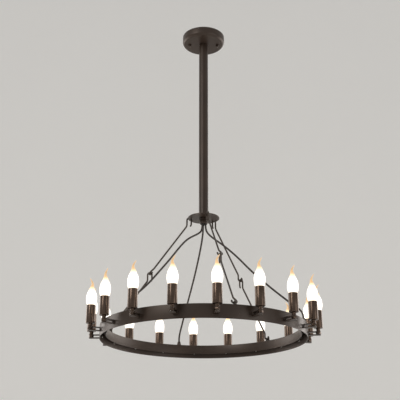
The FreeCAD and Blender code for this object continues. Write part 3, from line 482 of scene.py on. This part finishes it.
def bulb_material():
    """Lit frosted glass: white in the belly, warmer at the shoulder, amber in the bent tip."""
    material, tree, shader, place = new_material("lit_bulb", roughness=0.35)
    split = tree.nodes.new("ShaderNodeSeparateXYZ")
    tree.links.new(place, split.inputs["Vector"])
    height = ramp(tree, split.outputs["Z"], SLEEVE_TOP - 0.009, SLEEVE_TOP + 0.092)
    tint = tree.nodes.new("ShaderNodeValToRGB")
    stops = [(0.0, (0.60, 0.42, 0.26)), (0.12, (0.96, 0.86, 0.72)), (0.28, (1.0, 0.97, 0.92)),
             (0.50, (1.0, 0.96, 0.88)), (0.62, (0.78, 0.62, 0.42)), (0.72, (0.46, 0.30, 0.15)),
             (0.86, (0.36, 0.24, 0.13)), (1.0, (0.40, 0.31, 0.22))]
    while len(tint.color_ramp.elements) < len(stops):
        tint.color_ramp.elements.new(0.5)
    for element, (position, colour) in zip(tint.color_ramp.elements, stops):
        element.position = position
        element.color = (*colour, 1)
    tree.links.new(height, tint.inputs["Fac"])
    cloud = noise_node(tree, place, 60, 2)
    soft = mix_colour(tree, ramp(tree, cloud.outputs["Fac"], 0.3, 0.75), (1, 1, 1),
                      (0.97, 0.94, 0.9))
    glow = mix_colour(tree, 1.0, tint.outputs["Color"], soft, "MULTIPLY")
    tree.links.new(glow, shader.inputs["Base Color"])
    tree.links.new(glow, shader.inputs["Emission Color"])
    shader.inputs["Emission Strength"].default_value = 1.4
    return material


def seen_value(tree, unseen, seen):
    """One value for rays that show the background, straight, in a gloss or through glass, and
    another for the rays that light the object."""
    path = tree.nodes.new("ShaderNodeLightPath")
    total = path.outputs["Is Camera Ray"]
    for label in ("Is Glossy Ray", "Is Transmission Ray"):
        add = tree.nodes.new("ShaderNodeMath")
        add.operation = "ADD"
        add.use_clamp = True
        tree.links.new(total, add.inputs[0])
        tree.links.new(path.outputs[label], add.inputs[1])
        total = add.outputs[0]
    value = tree.nodes.new("ShaderNodeMapRange")
    value.inputs["To Min"].default_value = unseen
    value.inputs["To Max"].default_value = seen
    tree.links.new(total, value.inputs["Value"])
    return value.outputs["Result"]


def plain_stage(name, colour):
    """A matt pale surface with a barely visible unevenness."""
    material, tree, shader, place = new_material(name, roughness=0.9)
    cloud = noise_node(tree, place, 0.8, 2)
    tint = mix_colour(tree, cloud.outputs["Fac"], colour, tuple(0.98 * c for c in colour))
    tree.links.new(tint, shader.inputs["Base Color"])
    tree.links.new(tint, shader.inputs["Emission Color"])
    tree.links.new(seen_value(tree, 0.0, 0.18), shader.inputs["Emission Strength"])
    return material


BRONZE = grouped_material("dark_bronze_paint", WORN_PAINT, 0.35, 0.5, Colour=(0.036, 0.023, 0.016),
                          Rubbed=(0.085, 0.053, 0.036), Roughness=0.30, Peel=0.35)
CHAIN_BRONZE = grouped_material("chain_bronze_paint", WORN_PAINT, 0.4, 0.5,
                                Colour=(0.040, 0.029, 0.022), Rubbed=(0.11, 0.08, 0.06),
                                Roughness=0.28, Peel=0.45)
SLEEVE_BRONZE = grouped_material("sleeve_lacquer", TURNED_GRAIN, 0.9, 0.5,
                                 Colour=(0.070, 0.048, 0.036), Light=(0.115, 0.082, 0.063),
                                 Roughness=0.15)
ZINC = grouped_material("zinc_plate", TURNED_GRAIN, 1.0, 0.5, Colour=(0.52, 0.50, 0.46),
                        Light=(0.70, 0.69, 0.66), Roughness=0.30)
BRASS = grouped_material("cap_brass", TURNED_GRAIN, 1.0, 0.5, Colour=(0.62, 0.45, 0.20),
                         Light=(0.80, 0.62, 0.33), Roughness=0.25)
CERAMIC = grouped_material("lampholder_glaze", WORN_PAINT, 0.0, 0.5, Colour=(0.80, 0.77, 0.70),
                           Rubbed=(0.72, 0.68, 0.60), Roughness=0.15, Peel=0.1)
RUBBER = grouped_material("grommet_rubber", WORN_PAINT, 0.0, 0.3, Colour=(0.018, 0.016, 0.015),
                          Rubbed=(0.035, 0.032, 0.03), Roughness=0.6, Peel=0.5)
SHEATH = grouped_material("cord_sheath", WORN_PAINT, 0.0, 0.4, Colour=(0.034, 0.025, 0.020),
                          Rubbed=(0.060, 0.046, 0.038), Roughness=0.42, Peel=0.4)
CLIP = grouped_material("clip_nylon", WORN_PAINT, 0.0, 0.4, Colour=(0.70, 0.68, 0.62),
                        Rubbed=(0.60, 0.58, 0.53), Roughness=0.4, Peel=0.2)
BULB = bulb_material()


# ------------------------------------------------------------------ camera, light and backdrop

def place_camera():
    """The photograph's view: below the wheel, looking up at it."""
    data = bpy.data.cameras.new("camera")
    data.lens = 71.9
    data.sensor_width = 36
    data.clip_end = 60
    camera = bpy.data.objects.new("camera", data)
    camera.location = (-0.0135, -2.6846, -1.7013)
    camera.rotation_euler = (math.radians(90 + 20.91), math.radians(-0.05), math.radians(-0.03))
    bpy.context.scene.collection.objects.link(camera)
    bpy.context.scene.camera = camera


def area_light(name, place, aim, width, height, watts, colour):
    """A rectangular light at a place, looking at a point."""
    data = bpy.data.lights.new(name, "AREA")
    data.shape = "RECTANGLE"
    data.size = width
    data.size_y = height
    data.energy = watts
    data.color = colour
    lamp = bpy.data.objects.new(name, data)
    lamp.location = place
    lamp.rotation_euler = (Vector(aim) - Vector(place)).to_track_quat("-Z", "Y").to_euler()
    bpy.context.scene.collection.objects.link(lamp)


def set_backdrop():
    """A pale floor that curves up into a pale backdrop through a quarter circle."""
    across = np.linspace(-9, 9, 5)
    floor_z, back_y, bend = -3.3, 6.0, 2.0
    angle = np.linspace(0, math.pi / 2, 9)
    run = np.concatenate([[-9, 0, 3], back_y - bend + bend * np.sin(angle), [back_y]])
    rise = np.concatenate([[0, 0, 0], bend - bend * np.cos(angle), [9]]) + floor_z
    grid = np.stack([np.repeat(across[:, None], len(run), 1), np.tile(run, (5, 1)),
                     np.tile(rise, (5, 1))], -1)
    stage = link_mesh("backdrop", grid, grid_faces(5, len(run), False, False).tolist())
    stage.data.materials.append(plain_stage("backdrop_paint", (0.86, 0.85, 0.83)))
    world = bpy.data.worlds.new("world")
    world.use_nodes = True
    sky = world.node_tree.nodes["Background"]
    sky.inputs["Color"].default_value = (0.80, 0.79, 0.77, 1)
    world.node_tree.links.new(seen_value(world.node_tree, 0.55, 0.72), sky.inputs["Strength"])
    bpy.context.scene.world = world
    bpy.context.scene.view_settings.view_transform = "Standard"


def set_lights():
    """Soft lights in front, and tall panels at the sides that draw bright lines on the tubes."""
    middle = (0, 0, -0.95)
    area_light("key", (-2.6, -3.0, 0.9), middle, 1.6, 1.6, 42, (1, 0.97, 0.93))
    area_light("fill", (3.0, -2.4, -1.2), middle, 2.0, 2.0, 18, (1, 0.97, 0.94))
    for side, across in (("left", -2.3), ("right", 2.3)):
        area_light(f"panel_{side}", (across, 1.4, -1.0), middle, 1.8, 2.4, 36, (1, 0.95, 0.91))
    area_light("rim", (1.2, 3.2, 0.6), middle, 1.6, 1.6, 16, (1, 0.97, 0.92))


# ------------------------------------------------------------------ suspension rods

def arc_points(start, middle, finish, steps):
    """Points of the circular arc through three points, without its first."""
    a, b, c = (np.asarray(p, float) for p in (start, middle, finish))
    u, v = b - a, c - a
    w = np.cross(u, v)
    centre = a + np.cross(v @ v * u - u @ u * v, w * -1) / (2 * w @ w)
    x = a - centre
    radius = np.linalg.norm(x)
    x = x / radius
    axis = w / np.linalg.norm(w)
    y = np.cross(axis, x)
    turn = math.atan2((c - centre) @ y, (c - centre) @ x) % math.tau
    t = np.linspace(0, turn, steps + 1)[1:, None]
    return centre + radius * (np.cos(t) * x + np.sin(t) * y)


def bent_path(points, radii, steps=6):
    """Straight runs joined by tangent arcs, as path points."""
    points = [np.asarray(p, float) for p in points]
    path = [points[0]]
    for k in range(1, len(points) - 1):
        before, after = points[k - 1] - points[k], points[k + 1] - points[k]
        before, after = before / np.linalg.norm(before), after / np.linalg.norm(after)
        half_turn = (math.pi - math.acos(np.clip(before @ after, -1, 1))) / 2
        setback = radii[k - 1] * math.tan(half_turn)
        toward = (before + after) / np.linalg.norm(before + after)
        middle = points[k] + toward * (radii[k - 1] / math.cos(half_turn) - radii[k - 1])
        start = points[k] + before * setback
        path.append(start)
        path.extend(arc_points(start, middle, points[k] + after * setback, steps))
    path.append(points[-1])
    return path


def hook_pivots():
    """Turning points of a chain in its own plane: on the hub rim and in the ring's eye."""
    hole_edge, hub_radius = 0.045 + 0.006, 0.056
    web = (hole_edge + hub_radius) / 2
    inner = HOOK_BEND - WIRE / 2
    rise = math.sqrt(inner ** 2 - (hub_radius - web) ** 2)
    bend_centre = HUB_TOP - rise + LINK_GAP
    rim = np.array([web, 0, bend_centre + HOOK_BEND - WIRE - LINK_GAP])
    eye = np.array([RING_MIDDLE, 0, RING_TOP + 0.0057])
    return rim, eye


def rod_path(top):
    """Centre line of one hooked rod: hairpin, sloping shaft, and a hook turned sideways."""
    rim, eye = hook_pivots()
    length = np.linalg.norm(eye - rim) / 2
    slope = (eye - rim) / np.linalg.norm(eye - rim)
    out, side, up = np.eye(3)
    centre = top - up * (HOOK_BEND - WIRE - LINK_GAP)
    toe_lean, tail_lean, sweep = math.radians(24), math.radians(28), math.radians(190)
    leg_low = centre - out * HOOK_BEND - up * 0.017
    toe = leg_low + (out * math.sin(toe_lean) - up * math.cos(toe_lean)) * 0.009
    leg_top, shaft_top = centre - out * HOOK_BEND, centre + out * HOOK_BEND
    path = bent_path([toe, leg_low, leg_top], [0.008])
    path.extend(arc_points(leg_top, centre + up * HOOK_BEND, shaft_top, 14))
    run_end = length - HOOK_BEND - HOOK_BEND * math.sin(tail_lean)
    tail_run = HOOK_BEND * math.cos(tail_lean) / math.sin(tail_lean)
    hook_centre = top + slope * (length - HOOK_BEND)
    knee = top + slope * (run_end - tail_run * math.cos(tail_lean))
    crook = top + slope * run_end + side * HOOK_BEND * math.cos(tail_lean)
    path.extend(bent_path([shaft_top, shaft_top - up * 0.022, knee, crook], [0.016, 0.008])[1:])

    def on_hook(angle):
        return hook_centre + HOOK_BEND * (slope * math.sin(angle) + side * math.cos(angle))

    path.extend(arc_points(crook, on_hook((sweep - tail_lean) / 2), on_hook(sweep), 18))
    tip = on_hook(sweep) + (slope * math.cos(sweep) - side * math.sin(sweep)) * 0.004
    path.append(tip)
    return spaced(np.array(path))


def spaced(path, longest=0.012):
    """The same path with long straight runs divided, so that a finish follows it evenly."""
    points = [path[0]]
    for here, following in zip(path[:-1], path[1:]):
        parts = max(1, int(np.linalg.norm(following - here) / longest))
        points.extend(here + (following - here) * k / parts for k in range(1, parts + 1))
    return np.array(points)


def make_chains():
    """Six hooked rods: a circle carried along rod_path, from the rim and from halfway."""
    rim, eye = hook_pivots()
    middle = (rim + eye) / 2
    for k, heading in enumerate(CHAIN_HEADINGS, start=1):
        for part, top in (("upper", rim), ("lower", middle)):
            path = turn_about_axis(rod_path(top), heading)
            shape = tube_shape(path, WIRE / 2, 14)
            name = f"{part}_rod_{k}"
            finish_piece(f"{part}_hook_{k}", shape, name, CHAIN_BRONZE, [name], 60)


def make_eyes():
    """Three staples with weld beads at their feet."""
    rim, eye = hook_pivots()
    bend, wire = 0.008, 0.005
    crown = eye[2] + WIRE / 2 + LINK_GAP + wire / 2
    left, right = np.array([eye[0] - bend, 0, RING_TOP]), np.array([eye[0] + bend, 0, RING_TOP])
    rise = np.array([0, 0, crown - bend - RING_TOP])
    path = [left, left + rise]
    path.extend(arc_points(left + rise, [eye[0], 0, crown], right + rise, 14))
    path.append(right)
    staple = tube_shape(np.array(path), wire / 2, 14, round_ends=False)
    bead = round_outline([(0.0018, 0.0), (0.0042, 0.0), (0.0029, 0.0016), (0.0018, 0.0026)],
                         [0, 0.0004, 0.0012, 0])
    beads = [moved(turned_shape(bead, 20), (x, 0, RING_TOP)) for x in (left[0], right[0])]
    shape = spread(joined(staple, *beads), CHAIN_HEADINGS, 0.0)
    finish_piece("ring_staples", shape, "wheel", CHAIN_BRONZE, ["ring_eyes"], 50)


# ------------------------------------------------------------------ power cords

def cord_centre_line(index):
    """Smooth line of a cord, read from a NURBS spline through its route's control points."""
    route = CORD_START + CORD_MIDDLES[index] + CORD_END
    heading = CORD_HEADINGS[index]
    curve = bpy.data.curves.new(f"route_{index + 1}", "CURVE")
    curve.dimensions = "3D"
    spline = curve.splines.new("NURBS")
    spline.points.add(len(route) - 1)
    for point, (across, height) in zip(spline.points, route):
        point.co = (across * math.cos(heading), across * math.sin(heading), height, 1)
    spline.order_u = 3
    spline.use_endpoint_u = True
    spline.resolution_u = 10
    holder = bpy.data.objects.new(f"route_{index + 1}", curve)
    bpy.context.scene.collection.objects.link(holder)
    line = bpy.data.meshes.new_from_object(holder)
    points = np.array([v.co[:] for v in line.vertices])
    bpy.data.objects.remove(holder)
    bpy.data.meshes.remove(line)
    return points


def make_cords():
    """Three cords: a circle carried along the route's spline, from the hub to the wheel."""
    for index in range(CHAIN_COUNT):
        path = cord_centre_line(index)
        shape = tube_shape(path, CORD_WIDTH / 2, 12, round_ends=False)
        name = f"power_cord_{index + 1}"
        cord = finish_piece(f"lamp_cord_{index + 1}", shape, None, SHEATH, [name], 60)
        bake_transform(cord)


# ------------------------------------------------------------------ ceiling end and hub

def make_canopy():
    """A spun dish: one sheet with a rounded lower edge and a rolled rim at the ceiling."""
    wall, rod_hole, radius, rounding = 0.0012, 0.0173, 0.080, 0.012
    outline = round_outline([
        (rod_hole, CANOPY_LOW), (radius, CANOPY_LOW), (radius, 0.0), (radius - wall, 0.0),
        (radius - wall, CANOPY_LOW + wall), (rod_hole, CANOPY_LOW + wall)],
        [0.0004, rounding, 0.0005, 0.0005, rounding - wall, 0.0004], 10)
    finish_piece("canopy_dish", turned_shape(outline, 128), "canopy", BRONZE,
                 ["canopy"])


def make_cap_nuts():
    """A washer face, a hexagon skirt and a dome (r cos t, -r sin t) turned about the stud."""
    for side, sign in (("left", -1), ("right", 1)):
        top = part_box(f"cap_nut_{side}")[1].z
        seat = turned_shape(round_outline([(0.0026, top - 0.0012), (0.0062, top - 0.0012),
                                           (0.0062, top), (0.0026, top)],
                                          [0, 0.0003, 0.0003, 0]), 40)
        skirt = hexagon_nut(0.0045, 0.00255, top - 0.0052, top - 0.0012, 0.0004)
        t = np.linspace(0, math.pi / 2, 9)[1:]
        dome = np.stack([0.0043 * np.cos(t), top - 0.0050 - 0.0044 * np.sin(t)], -1)
        cap = turned_solid(np.concatenate([[[0, dome[-1, 1] - 0.00002]], dome[::-1][1:],
                                           [[0.0043, top - 0.0050], [0.0030, top - 0.0046]],
                                           [[0, top - 0.0046]]]), 32)
        shape = moved(joined(seat, skirt, cap), (sign * STUD_OFFSET, 0, 0))
        finish_piece(f"domed_nut_{side}", shape, f"cap_nut_{side}", BRONZE,
                     [f"cap_nut_{side}"], 30)


def make_down_rod():
    """A plain tube with slightly broken end edges."""
    low, high = heights("down_rod")
    outer, inner = 0.017, 0.0155
    side = np.linspace(low + 0.002, high - 0.002, 30)
    outline = np.concatenate([[[inner, low], [outer - 0.0004, low], [outer, low + 0.0005]],
                              np.stack([np.full(30, outer), side], -1),
                              [[outer, high - 0.0005], [outer - 0.0004, high], [inner, high]]])
    finish_piece("rod_tube", turned_shape(outline, 96), "ceiling_mount", BRONZE,
                 ["down_rod"])


def make_hub():
    """Plate, nut and outlet below the rod.  The plate keeps its own node."""
    nut = hexagon_nut(0.0135, STEM_BORE, OUTLET_TOP, HUB_LOW, 0.0007)
    finish_piece("hub_lock_nut", nut, "hub", BRONZE, ["hub_nut"], 30)
    cup = round_outline([
        (STEM_BORE, OUTLET_TOP), (0.014, OUTLET_TOP), (0.014, OUTLET_LOW + 0.002),
        (0.012, OUTLET_LOW), (0.01106, OUTLET_LOW), (0.01106, OUTLET_LOW + 0.004),
        (STEM_BORE, OUTLET_LOW + 0.004)], [0, 0.001, 0.002, 0.0004, 0.0002, 0, 0], 5)
    grip = turned_shape(cup, 144)
    radius = np.hypot(grip[0][:, 0], grip[0][:, 1])
    angle = np.arctan2(grip[0][:, 1], grip[0][:, 0])
    band = (radius > 0.0135) & (grip[0][:, 2] < OUTLET_TOP - 0.003) \
        & (grip[0][:, 2] > OUTLET_LOW + 0.004)
    flute = np.where(band, 1 - 0.02 * (0.5 + 0.5 * np.cos(36 * angle)), 1)
    grip[0][:, 0] *= flute
    grip[0][:, 1] *= flute
    finish_piece("outlet_cup", grip, "hub", BRONZE, ["cord_outlet"], 30)
    boots = []
    for heading in CORD_HEADINGS:
        boot = turned_shape(round_outline([
            (CORD_WIDTH / 2 + 0.0001, OUTLET_LOW + 0.001), (0.0052, OUTLET_LOW + 0.001),
            (0.0046, OUTLET_LOW - 0.0035), (CORD_WIDTH / 2 + 0.0001, OUTLET_LOW - 0.0035)],
            [0, 0, 0.0008, 0]), 24)
        across = CORD_START[0][0]
        boots.append(moved(boot, (across * math.cos(heading), across * math.sin(heading), 0)))
    disc = turned_solid(round_outline([(0, OUTLET_LOW + 0.0003), (0.011, OUTLET_LOW + 0.0003),
                                       (0.011, OUTLET_LOW + 0.004), (0, OUTLET_LOW + 0.004)],
                                      [0, 0.0008, 0, 0]), 48)
    finish_piece("outlet_seal", joined(disc, *boots), "hub", RUBBER,
                 ["outlet_grommet"], 30)


def make_studs():
    """The two canopy studs with their threads."""
    low, high = heights("canopy_studs")
    stud = threaded_rod(0.0025, 0, low, high, 0.0008, 0.0003)
    shape = joined(*[moved(stud, (across, 0, 0)) for across in (-STUD_OFFSET, STUD_OFFSET)])
    finish_piece("stud_threads", shape, "ceiling_mount", ZINC, ["canopy_studs"], 20)


# ------------------------------------------------------------------ wheel ring

def make_ring():
    """The rolled channel with eased edges: the section carried round the rod's axis."""
    outer, inner = RING_OUTER, RING_OUTER - RING_SECTION
    sheet = RING_SHEET
    outline = round_outline([
        (inner, RING_TOP), (outer, RING_TOP), (outer, RING_LOW), (outer - sheet, RING_LOW),
        (outer - sheet, RING_TOP - sheet), (inner + sheet, RING_TOP - sheet),
        (inner + sheet, RING_TOP - RING_INNER_LEG), (inner, RING_TOP - RING_INNER_LEG)],
        [0.0012, 0.0012, 0.0006, 0.0006, 0.0006, 0.0006, 0.0006, 0.0006], 4)
    finish_piece("channel_ring", turned_shape(outline, 288), "wheel", BRONZE,
                 ["wheel_ring"])


def make_ring_wiring():
    """Glands with strain relief collars, and three twisted wires inside the channel."""
    low, top = RING_TOP, GLAND_TOP
    height = top - low
    bore = CORD_WIDTH / 2 + 0.0001
    collar = hexagon_nut(0.0068, 0.0050, low, low + height * 0.34, 0.0005)
    cone = turned_shape(round_outline([
        (0.0045, low + height * 0.3), (0.0066, low + height * 0.34),
        (0.0064, low + height * 0.62), (0.0048, top - 0.0002), (bore, top - 0.0002),
        (bore, low + height * 0.3)], [0, 0.0005, 0.0015, 0.0008, 0, 0]), 36)
    shank = threaded_rod(0.005, 0.0034, low - 0.010, low, 0.001, 0.0003, 28)
    shape = spread(joined(collar, cone, shank), CORD_HEADINGS, RING_MIDDLE)
    finish_piece("cord_glands", shape, "wheel", BRONZE, ["ring_glands"], 30)
    count, strands = 1080, 3
    angle = np.arange(count) / count * math.tau
    middle_z = sum(heights("wiring_loop")) / 2
    wires = []
    for strand in range(strands):
        lay = angle * 60 + math.tau / strands * strand
        away = RING_MIDDLE + 0.0018 * np.cos(lay)
        path = np.stack([away * np.cos(angle), away * np.sin(angle),
                         middle_z + 0.0018 * np.sin(lay)], -1)
        wires.append(tube_shape(path, 0.00155, 7, closed=True))
    finish_piece("twisted_wires", joined(*wires), "wheel", SHEATH, ["wiring_loop"],
                 80)


# ------------------------------------------------------------------ candle lamps

def bulb_outline_radius(height):
    """Radius of the glass at a height above the sleeve's mouth: cubic Hermite pieces
    h00 r0 + h10 d s0 + h01 r1 + h11 d s1 through the stops, d apart and with slopes s."""
    stops = np.array([(-9, 8.0), (-6, 9.6), (-2, 12.4), (3, 14.6), (10, 16.5), (17, 17.35),
                      (24, 17.5), (31, 17.0), (38, 15.5), (45, 12.9), (52, 9.9), (58, 7.4),
                      (63, 5.7), (68, 4.5), (74, 3.5), (80, 2.8), (86, 2.1), (91, 1.2)]) * MM
    low = np.clip(np.searchsorted(stops[:, 0], height, "right") - 1, 0, len(stops) - 2)
    gap = stops[low + 1, 0] - stops[low, 0]
    t = (height - stops[low, 0]) / gap
    slope = np.gradient(stops[:, 1], stops[:, 0])
    h00, h10 = 2 * t ** 3 - 3 * t ** 2 + 1, t ** 3 - 2 * t ** 2 + t
    h01, h11 = -2 * t ** 3 + 3 * t ** 2, t ** 3 - t ** 2
    return (h00 * stops[low, 1] + h10 * gap * slope[low] + h01 * stops[low + 1, 1]
            + h11 * gap * slope[low + 1])


def bulb_glass(heading):
    """The glass: circles whose centres follow the axis, bow back by a sin^2 and then lean over
    by a power of the height, which gives the drawn tip its S."""
    sides, neck, tip, over, bow = 28, 56, 91, 0.0078, 0.0022
    height = np.concatenate([np.linspace(-9, neck, 26), np.linspace(neck + 1.5, tip, 24)]) * MM
    lean = np.clip((height / MM - neck) / (tip - neck), 0, 1)
    shift = over * lean ** 2.8 - bow * np.sin(math.pi * lean) ** 2
    tilt = np.gradient(shift, height)
    radius = bulb_outline_radius(height)
    angle = np.arange(sides) / sides * math.tau
    c, s = math.cos(math.radians(heading)), math.sin(math.radians(heading))
    ahead = radius[:, None] * np.cos(angle)[None]
    flat = 1 / np.sqrt(1 + tilt ** 2)
    x = shift[:, None] + ahead * flat[:, None]
    z = height[:, None] - ahead * (tilt * flat)[:, None]
    y = radius[:, None] * np.sin(angle)[None]
    rings = np.stack([x * c - y * s, x * s + y * c, z], -1)
    tip_x, tip_z = shift[-1] + 0.0011 * tilt[-1], height[-1] + 0.0011
    return capped(rings, (0, 0, height[0]), (tip_x * c, tip_x * s, tip_z))


def bulb_cap():
    """The screw cap in one piece: a rolled round thread, the insulator's cone and the contact."""
    top, length = -0.0088, 0.0215
    turns = 5
    z = np.linspace(top - 0.017, top - 0.002, turns * 8 + 1)
    r = 0.0066 + 0.00035 * np.cos((z - z[0]) / (z[-1] - z[0]) * math.tau * turns)
    shell = np.concatenate([[[0, top - length]], [[0.0030, top - length]],
                            [[0.0056, top - 0.0182]], np.stack([r, z], -1),
                            [[0.0069, top], [0.0, top]]])
    return turned_solid(shell, 24)


def at_lamp(shape, heading):
    """A shape about its own axis, moved to the lamp circle without turning it."""
    return moved(shape, (LAMP_CIRCLE * math.cos(heading), LAMP_CIRCLE * math.sin(heading),
                         SLEEVE_TOP))


def make_bulbs():
    """Eighteen bulbs, each glass and cap on the bulb's own body."""
    for k, heading in enumerate(LAMP_HEADINGS):
        node = f"bulb_{k + 1:02d}"
        glass = at_lamp(bulb_glass(TIP_HEADINGS[k]), heading)
        finish_piece(f"bulb_glass_{k + 1:02d}", glass, node, BULB, [node], 60)
        cap = at_lamp(bulb_cap(), heading)
        finish_piece(f"bulb_cap_{k + 1:02d}", cap, node, BRASS, (), 40)


def make_sleeves():
    """Candle sleeves: thin tubes with a rolled mouth and a chamfered, closed foot."""
    radius, wall, floor, hole = 0.0155, 0.001, 0.0015, 0.00515
    low, top = SLEEVE_LOW, SLEEVE_TOP
    outline = round_outline([
        (hole, low), (radius - 0.0012, low), (radius, low + 0.0012), (radius, top),
        (radius - wall, top), (radius - wall, low + floor), (hole, low + floor)],
        [0.0002, 0.0005, 0.0005, 0.0004, 0.0004, 0.0008, 0.0002], 3)
    shape = spread(turned_shape(outline, 48), LAMP_HEADINGS, LAMP_CIRCLE)
    finish_piece("sleeves", shape, "wheel", SLEEVE_BRONZE, ["candle_sleeves"])


def make_lampholders():
    """A glazed cup with a bore for the bulb's cap, narrower at its foot, turned about Z."""
    low, top = heights("candle_sockets")
    outline = round_outline([
        (0.0052, low), (0.012, low), (0.012, top), (0.0073, top), (0.0073, top - 0.024),
        (0.0052, top - 0.026)], [0, 0.0008, 0.0008, 0.0005, 0, 0], 3)
    shape = spread(turned_shape(outline, 32), LAMP_HEADINGS, LAMP_CIRCLE)
    finish_piece("lampholders", shape, "wheel", CERAMIC, ["candle_sockets"])


def strap_shape():
    """The C strap: an eased flat section carried along a path with two bends.  Its half width
    past the lamp's axis is sqrt(w^2 - x^2), so that each arm ends in a half circle.  It has the
    photograph's height, which is less than the solid's."""
    sheet, half_width, bend, ease = 0.0025, 0.008, 0.00275, 0.0005
    top, low = STRAP_TOP - sheet / 2, STRAP_TOP - STRAP_HEIGHT + sheet / 2
    back = RING_OUTER + sheet / 2
    end = LAMP_CIRCLE + half_width
    inner = bent_path([np.array([end, 0, top]), np.array([back, 0, top]),
                       np.array([back, 0, low]), np.array([end, 0, low])], [bend, bend], 6)
    past = LAMP_CIRCLE + half_width * np.sin(np.linspace(math.pi / 2, 0, 12))
    past[0] -= 0.00002
    upper = np.stack([past, np.zeros(12), np.full(12, top)], -1)
    lower = np.stack([past[::-1], np.zeros(12), np.full(12, low)], -1)
    path = np.concatenate([upper, inner[1:-1], lower])
    half = np.sqrt(half_width ** 2 - np.clip(path[:, 0] - LAMP_CIRCLE, 0, half_width) ** 2)
    tangent = np.gradient(path, axis=0)
    tangent /= np.linalg.norm(tangent, axis=1)[:, None]
    outward = np.stack([-tangent[:, 2], np.zeros(len(path)), tangent[:, 0]], -1)
    rows = []
    for y_share, n_share in ((-1, -1), (-1, 1), (1, 1), (1, -1)):
        steps = ((ease, 0), (0, ease)) if y_share * n_share > 0 else ((0, ease), (ease, 0))
        for dy, dn in steps:
            across = np.zeros_like(path)
            across[:, 1] = y_share * np.maximum(half - dy, 0.0001)
            rows.append(path + outward * n_share * (sheet / 2 - dn) + across)
    grid = np.stack(rows, 1)
    count, sides = grid.shape[:2]
    faces = grid_faces(count, sides, False, True).tolist()
    faces.append(list(range(sides))[::-1])
    faces.append([(count - 1) * sides + k for k in range(sides)])
    return grid.reshape(-1, 3), faces


def pan_head():
    """A pan head with a round dimple, its axis along +X."""
    radius, height = 0.0031, 0.0022
    t = np.linspace(0, 1, 7)[1:]
    quarter = t * math.pi / 2
    crown = np.stack([radius * np.cos(quarter), height * (0.45 + 0.55 * np.sin(quarter))], -1)
    outline = np.concatenate([[[0, 0]], [[radius, 0]], [[radius, height * 0.45]], crown[:-1],
                              [[0.0007, height]], [[0, height * 0.62]]])
    return lying(turned_solid(outline, 28))


def make_brackets():
    """A strap, a screw through its back and the ring's outer leg, and a nut for each lamp."""
    headings = LAMP_HEADINGS
    shape = spread(strap_shape(), headings, 0.0)
    piece = finish_piece("strap_brackets", shape, "wheel", BRONZE,
                         ["candle_brackets"], 40)
    face_outwards(piece)
    screw_z = STRAP_TOP - STRAP_HEIGHT / 2
    face = RING_OUTER + 0.0025
    heads = spread(pan_head(), headings, face, screw_z)
    shank = lying(threaded_rod(0.002, 0, -0.009, 0.0002, 0.0007, 0.00025, 16))
    shanks = spread(shank, headings, face, screw_z)
    finish_piece("strap_screws", joined(heads, shanks), "wheel", BRONZE,
                 ["bracket_screws"], 30)
    inside = RING_OUTER - RING_SHEET - 0.0001 - 0.0032
    back = lying(hexagon_nut(0.0035, 0.00205, 0.0, 0.0032, 0.0003))
    finish_piece("strap_nuts", spread(back, headings, inside, screw_z), "wheel",
                 ZINC, ["bracket_nuts"], 30)


def face_outwards(piece):
    """Recalculate the normals of a closed mesh so that its faces look outwards."""
    work = bmesh.new()
    work.from_mesh(piece.data)
    bmesh.ops.remove_doubles(work, verts=work.verts, dist=1e-7)
    bmesh.ops.recalc_face_normals(work, faces=work.faces)
    work.to_mesh(piece.data)
    work.free()


def make_stems():
    """Collar, threaded pipe and nut below each sleeve."""
    collar_top = SLEEVE_LOW
    collar_low = STRAP_TOP
    waist = (collar_top + collar_low) / 2
    outline = round_outline([
        (0.00505, collar_low), (0.0075, collar_low), (0.0075, collar_low + 0.0030),
        (0.0064, waist - 0.001), (0.0064, waist + 0.001), (0.0075, collar_top - 0.0030),
        (0.0075, collar_top), (0.00505, collar_top)],
        [0, 0.0006, 0.0008, 0.0008, 0.0008, 0.0008, 0.0006, 0], 4)
    finish_piece("collars", spread(turned_shape(outline, 36), LAMP_HEADINGS, LAMP_CIRCLE), "wheel",
                 SLEEVE_BRONZE, ["candle_collars"])
    pipe_low, pipe_top = heights("candle_pipes")
    pipe = threaded_rod(0.005, 0.0035, pipe_low, pipe_top, 0.001, 0.00035, 28)
    finish_piece("threaded_pipes", spread(pipe, LAMP_HEADINGS, LAMP_CIRCLE), "wheel",
                 ZINC, ["candle_pipes"], 20)
    nut_low, nut_top = heights("candle_nuts")
    nut = hexagon_nut(0.0075, 0.00505, nut_low, nut_top, 0.0005)
    finish_piece("pipe_nuts", spread(nut, LAMP_HEADINGS, LAMP_CIRCLE), "wheel",
                 SLEEVE_BRONZE, ["candle_nuts"], 30)


def dress_nodes():
    """Finishes of the nodes whose own shapes stay."""
    finishes = {"hub_plate": BRONZE, "hub_stem": ZINC, "ceiling_crossbar": ZINC,
                "ceiling_stem": ZINC, "stem_lock_nuts": ZINC, "ground_screw": BRASS,
                "rod_top_plug": ZINC, "rod_end_plug": ZINC, "gland_nuts": ZINC,
                "wiring_clips": CLIP}
    for name, material in finishes.items():
        mesh = NODES[name].data
        mesh.materials.clear()
        mesh.materials.append(material)


# ------------------------------------------------------------------ build

place_camera()
set_backdrop()
set_lights()
make_cords()
make_canopy()
make_cap_nuts()
make_down_rod()
make_hub()
make_studs()
make_chains()
make_eyes()
make_ring()
make_ring_wiring()
make_sleeves()
make_lampholders()
make_bulbs()
make_brackets()
make_stems()
dress_nodes()
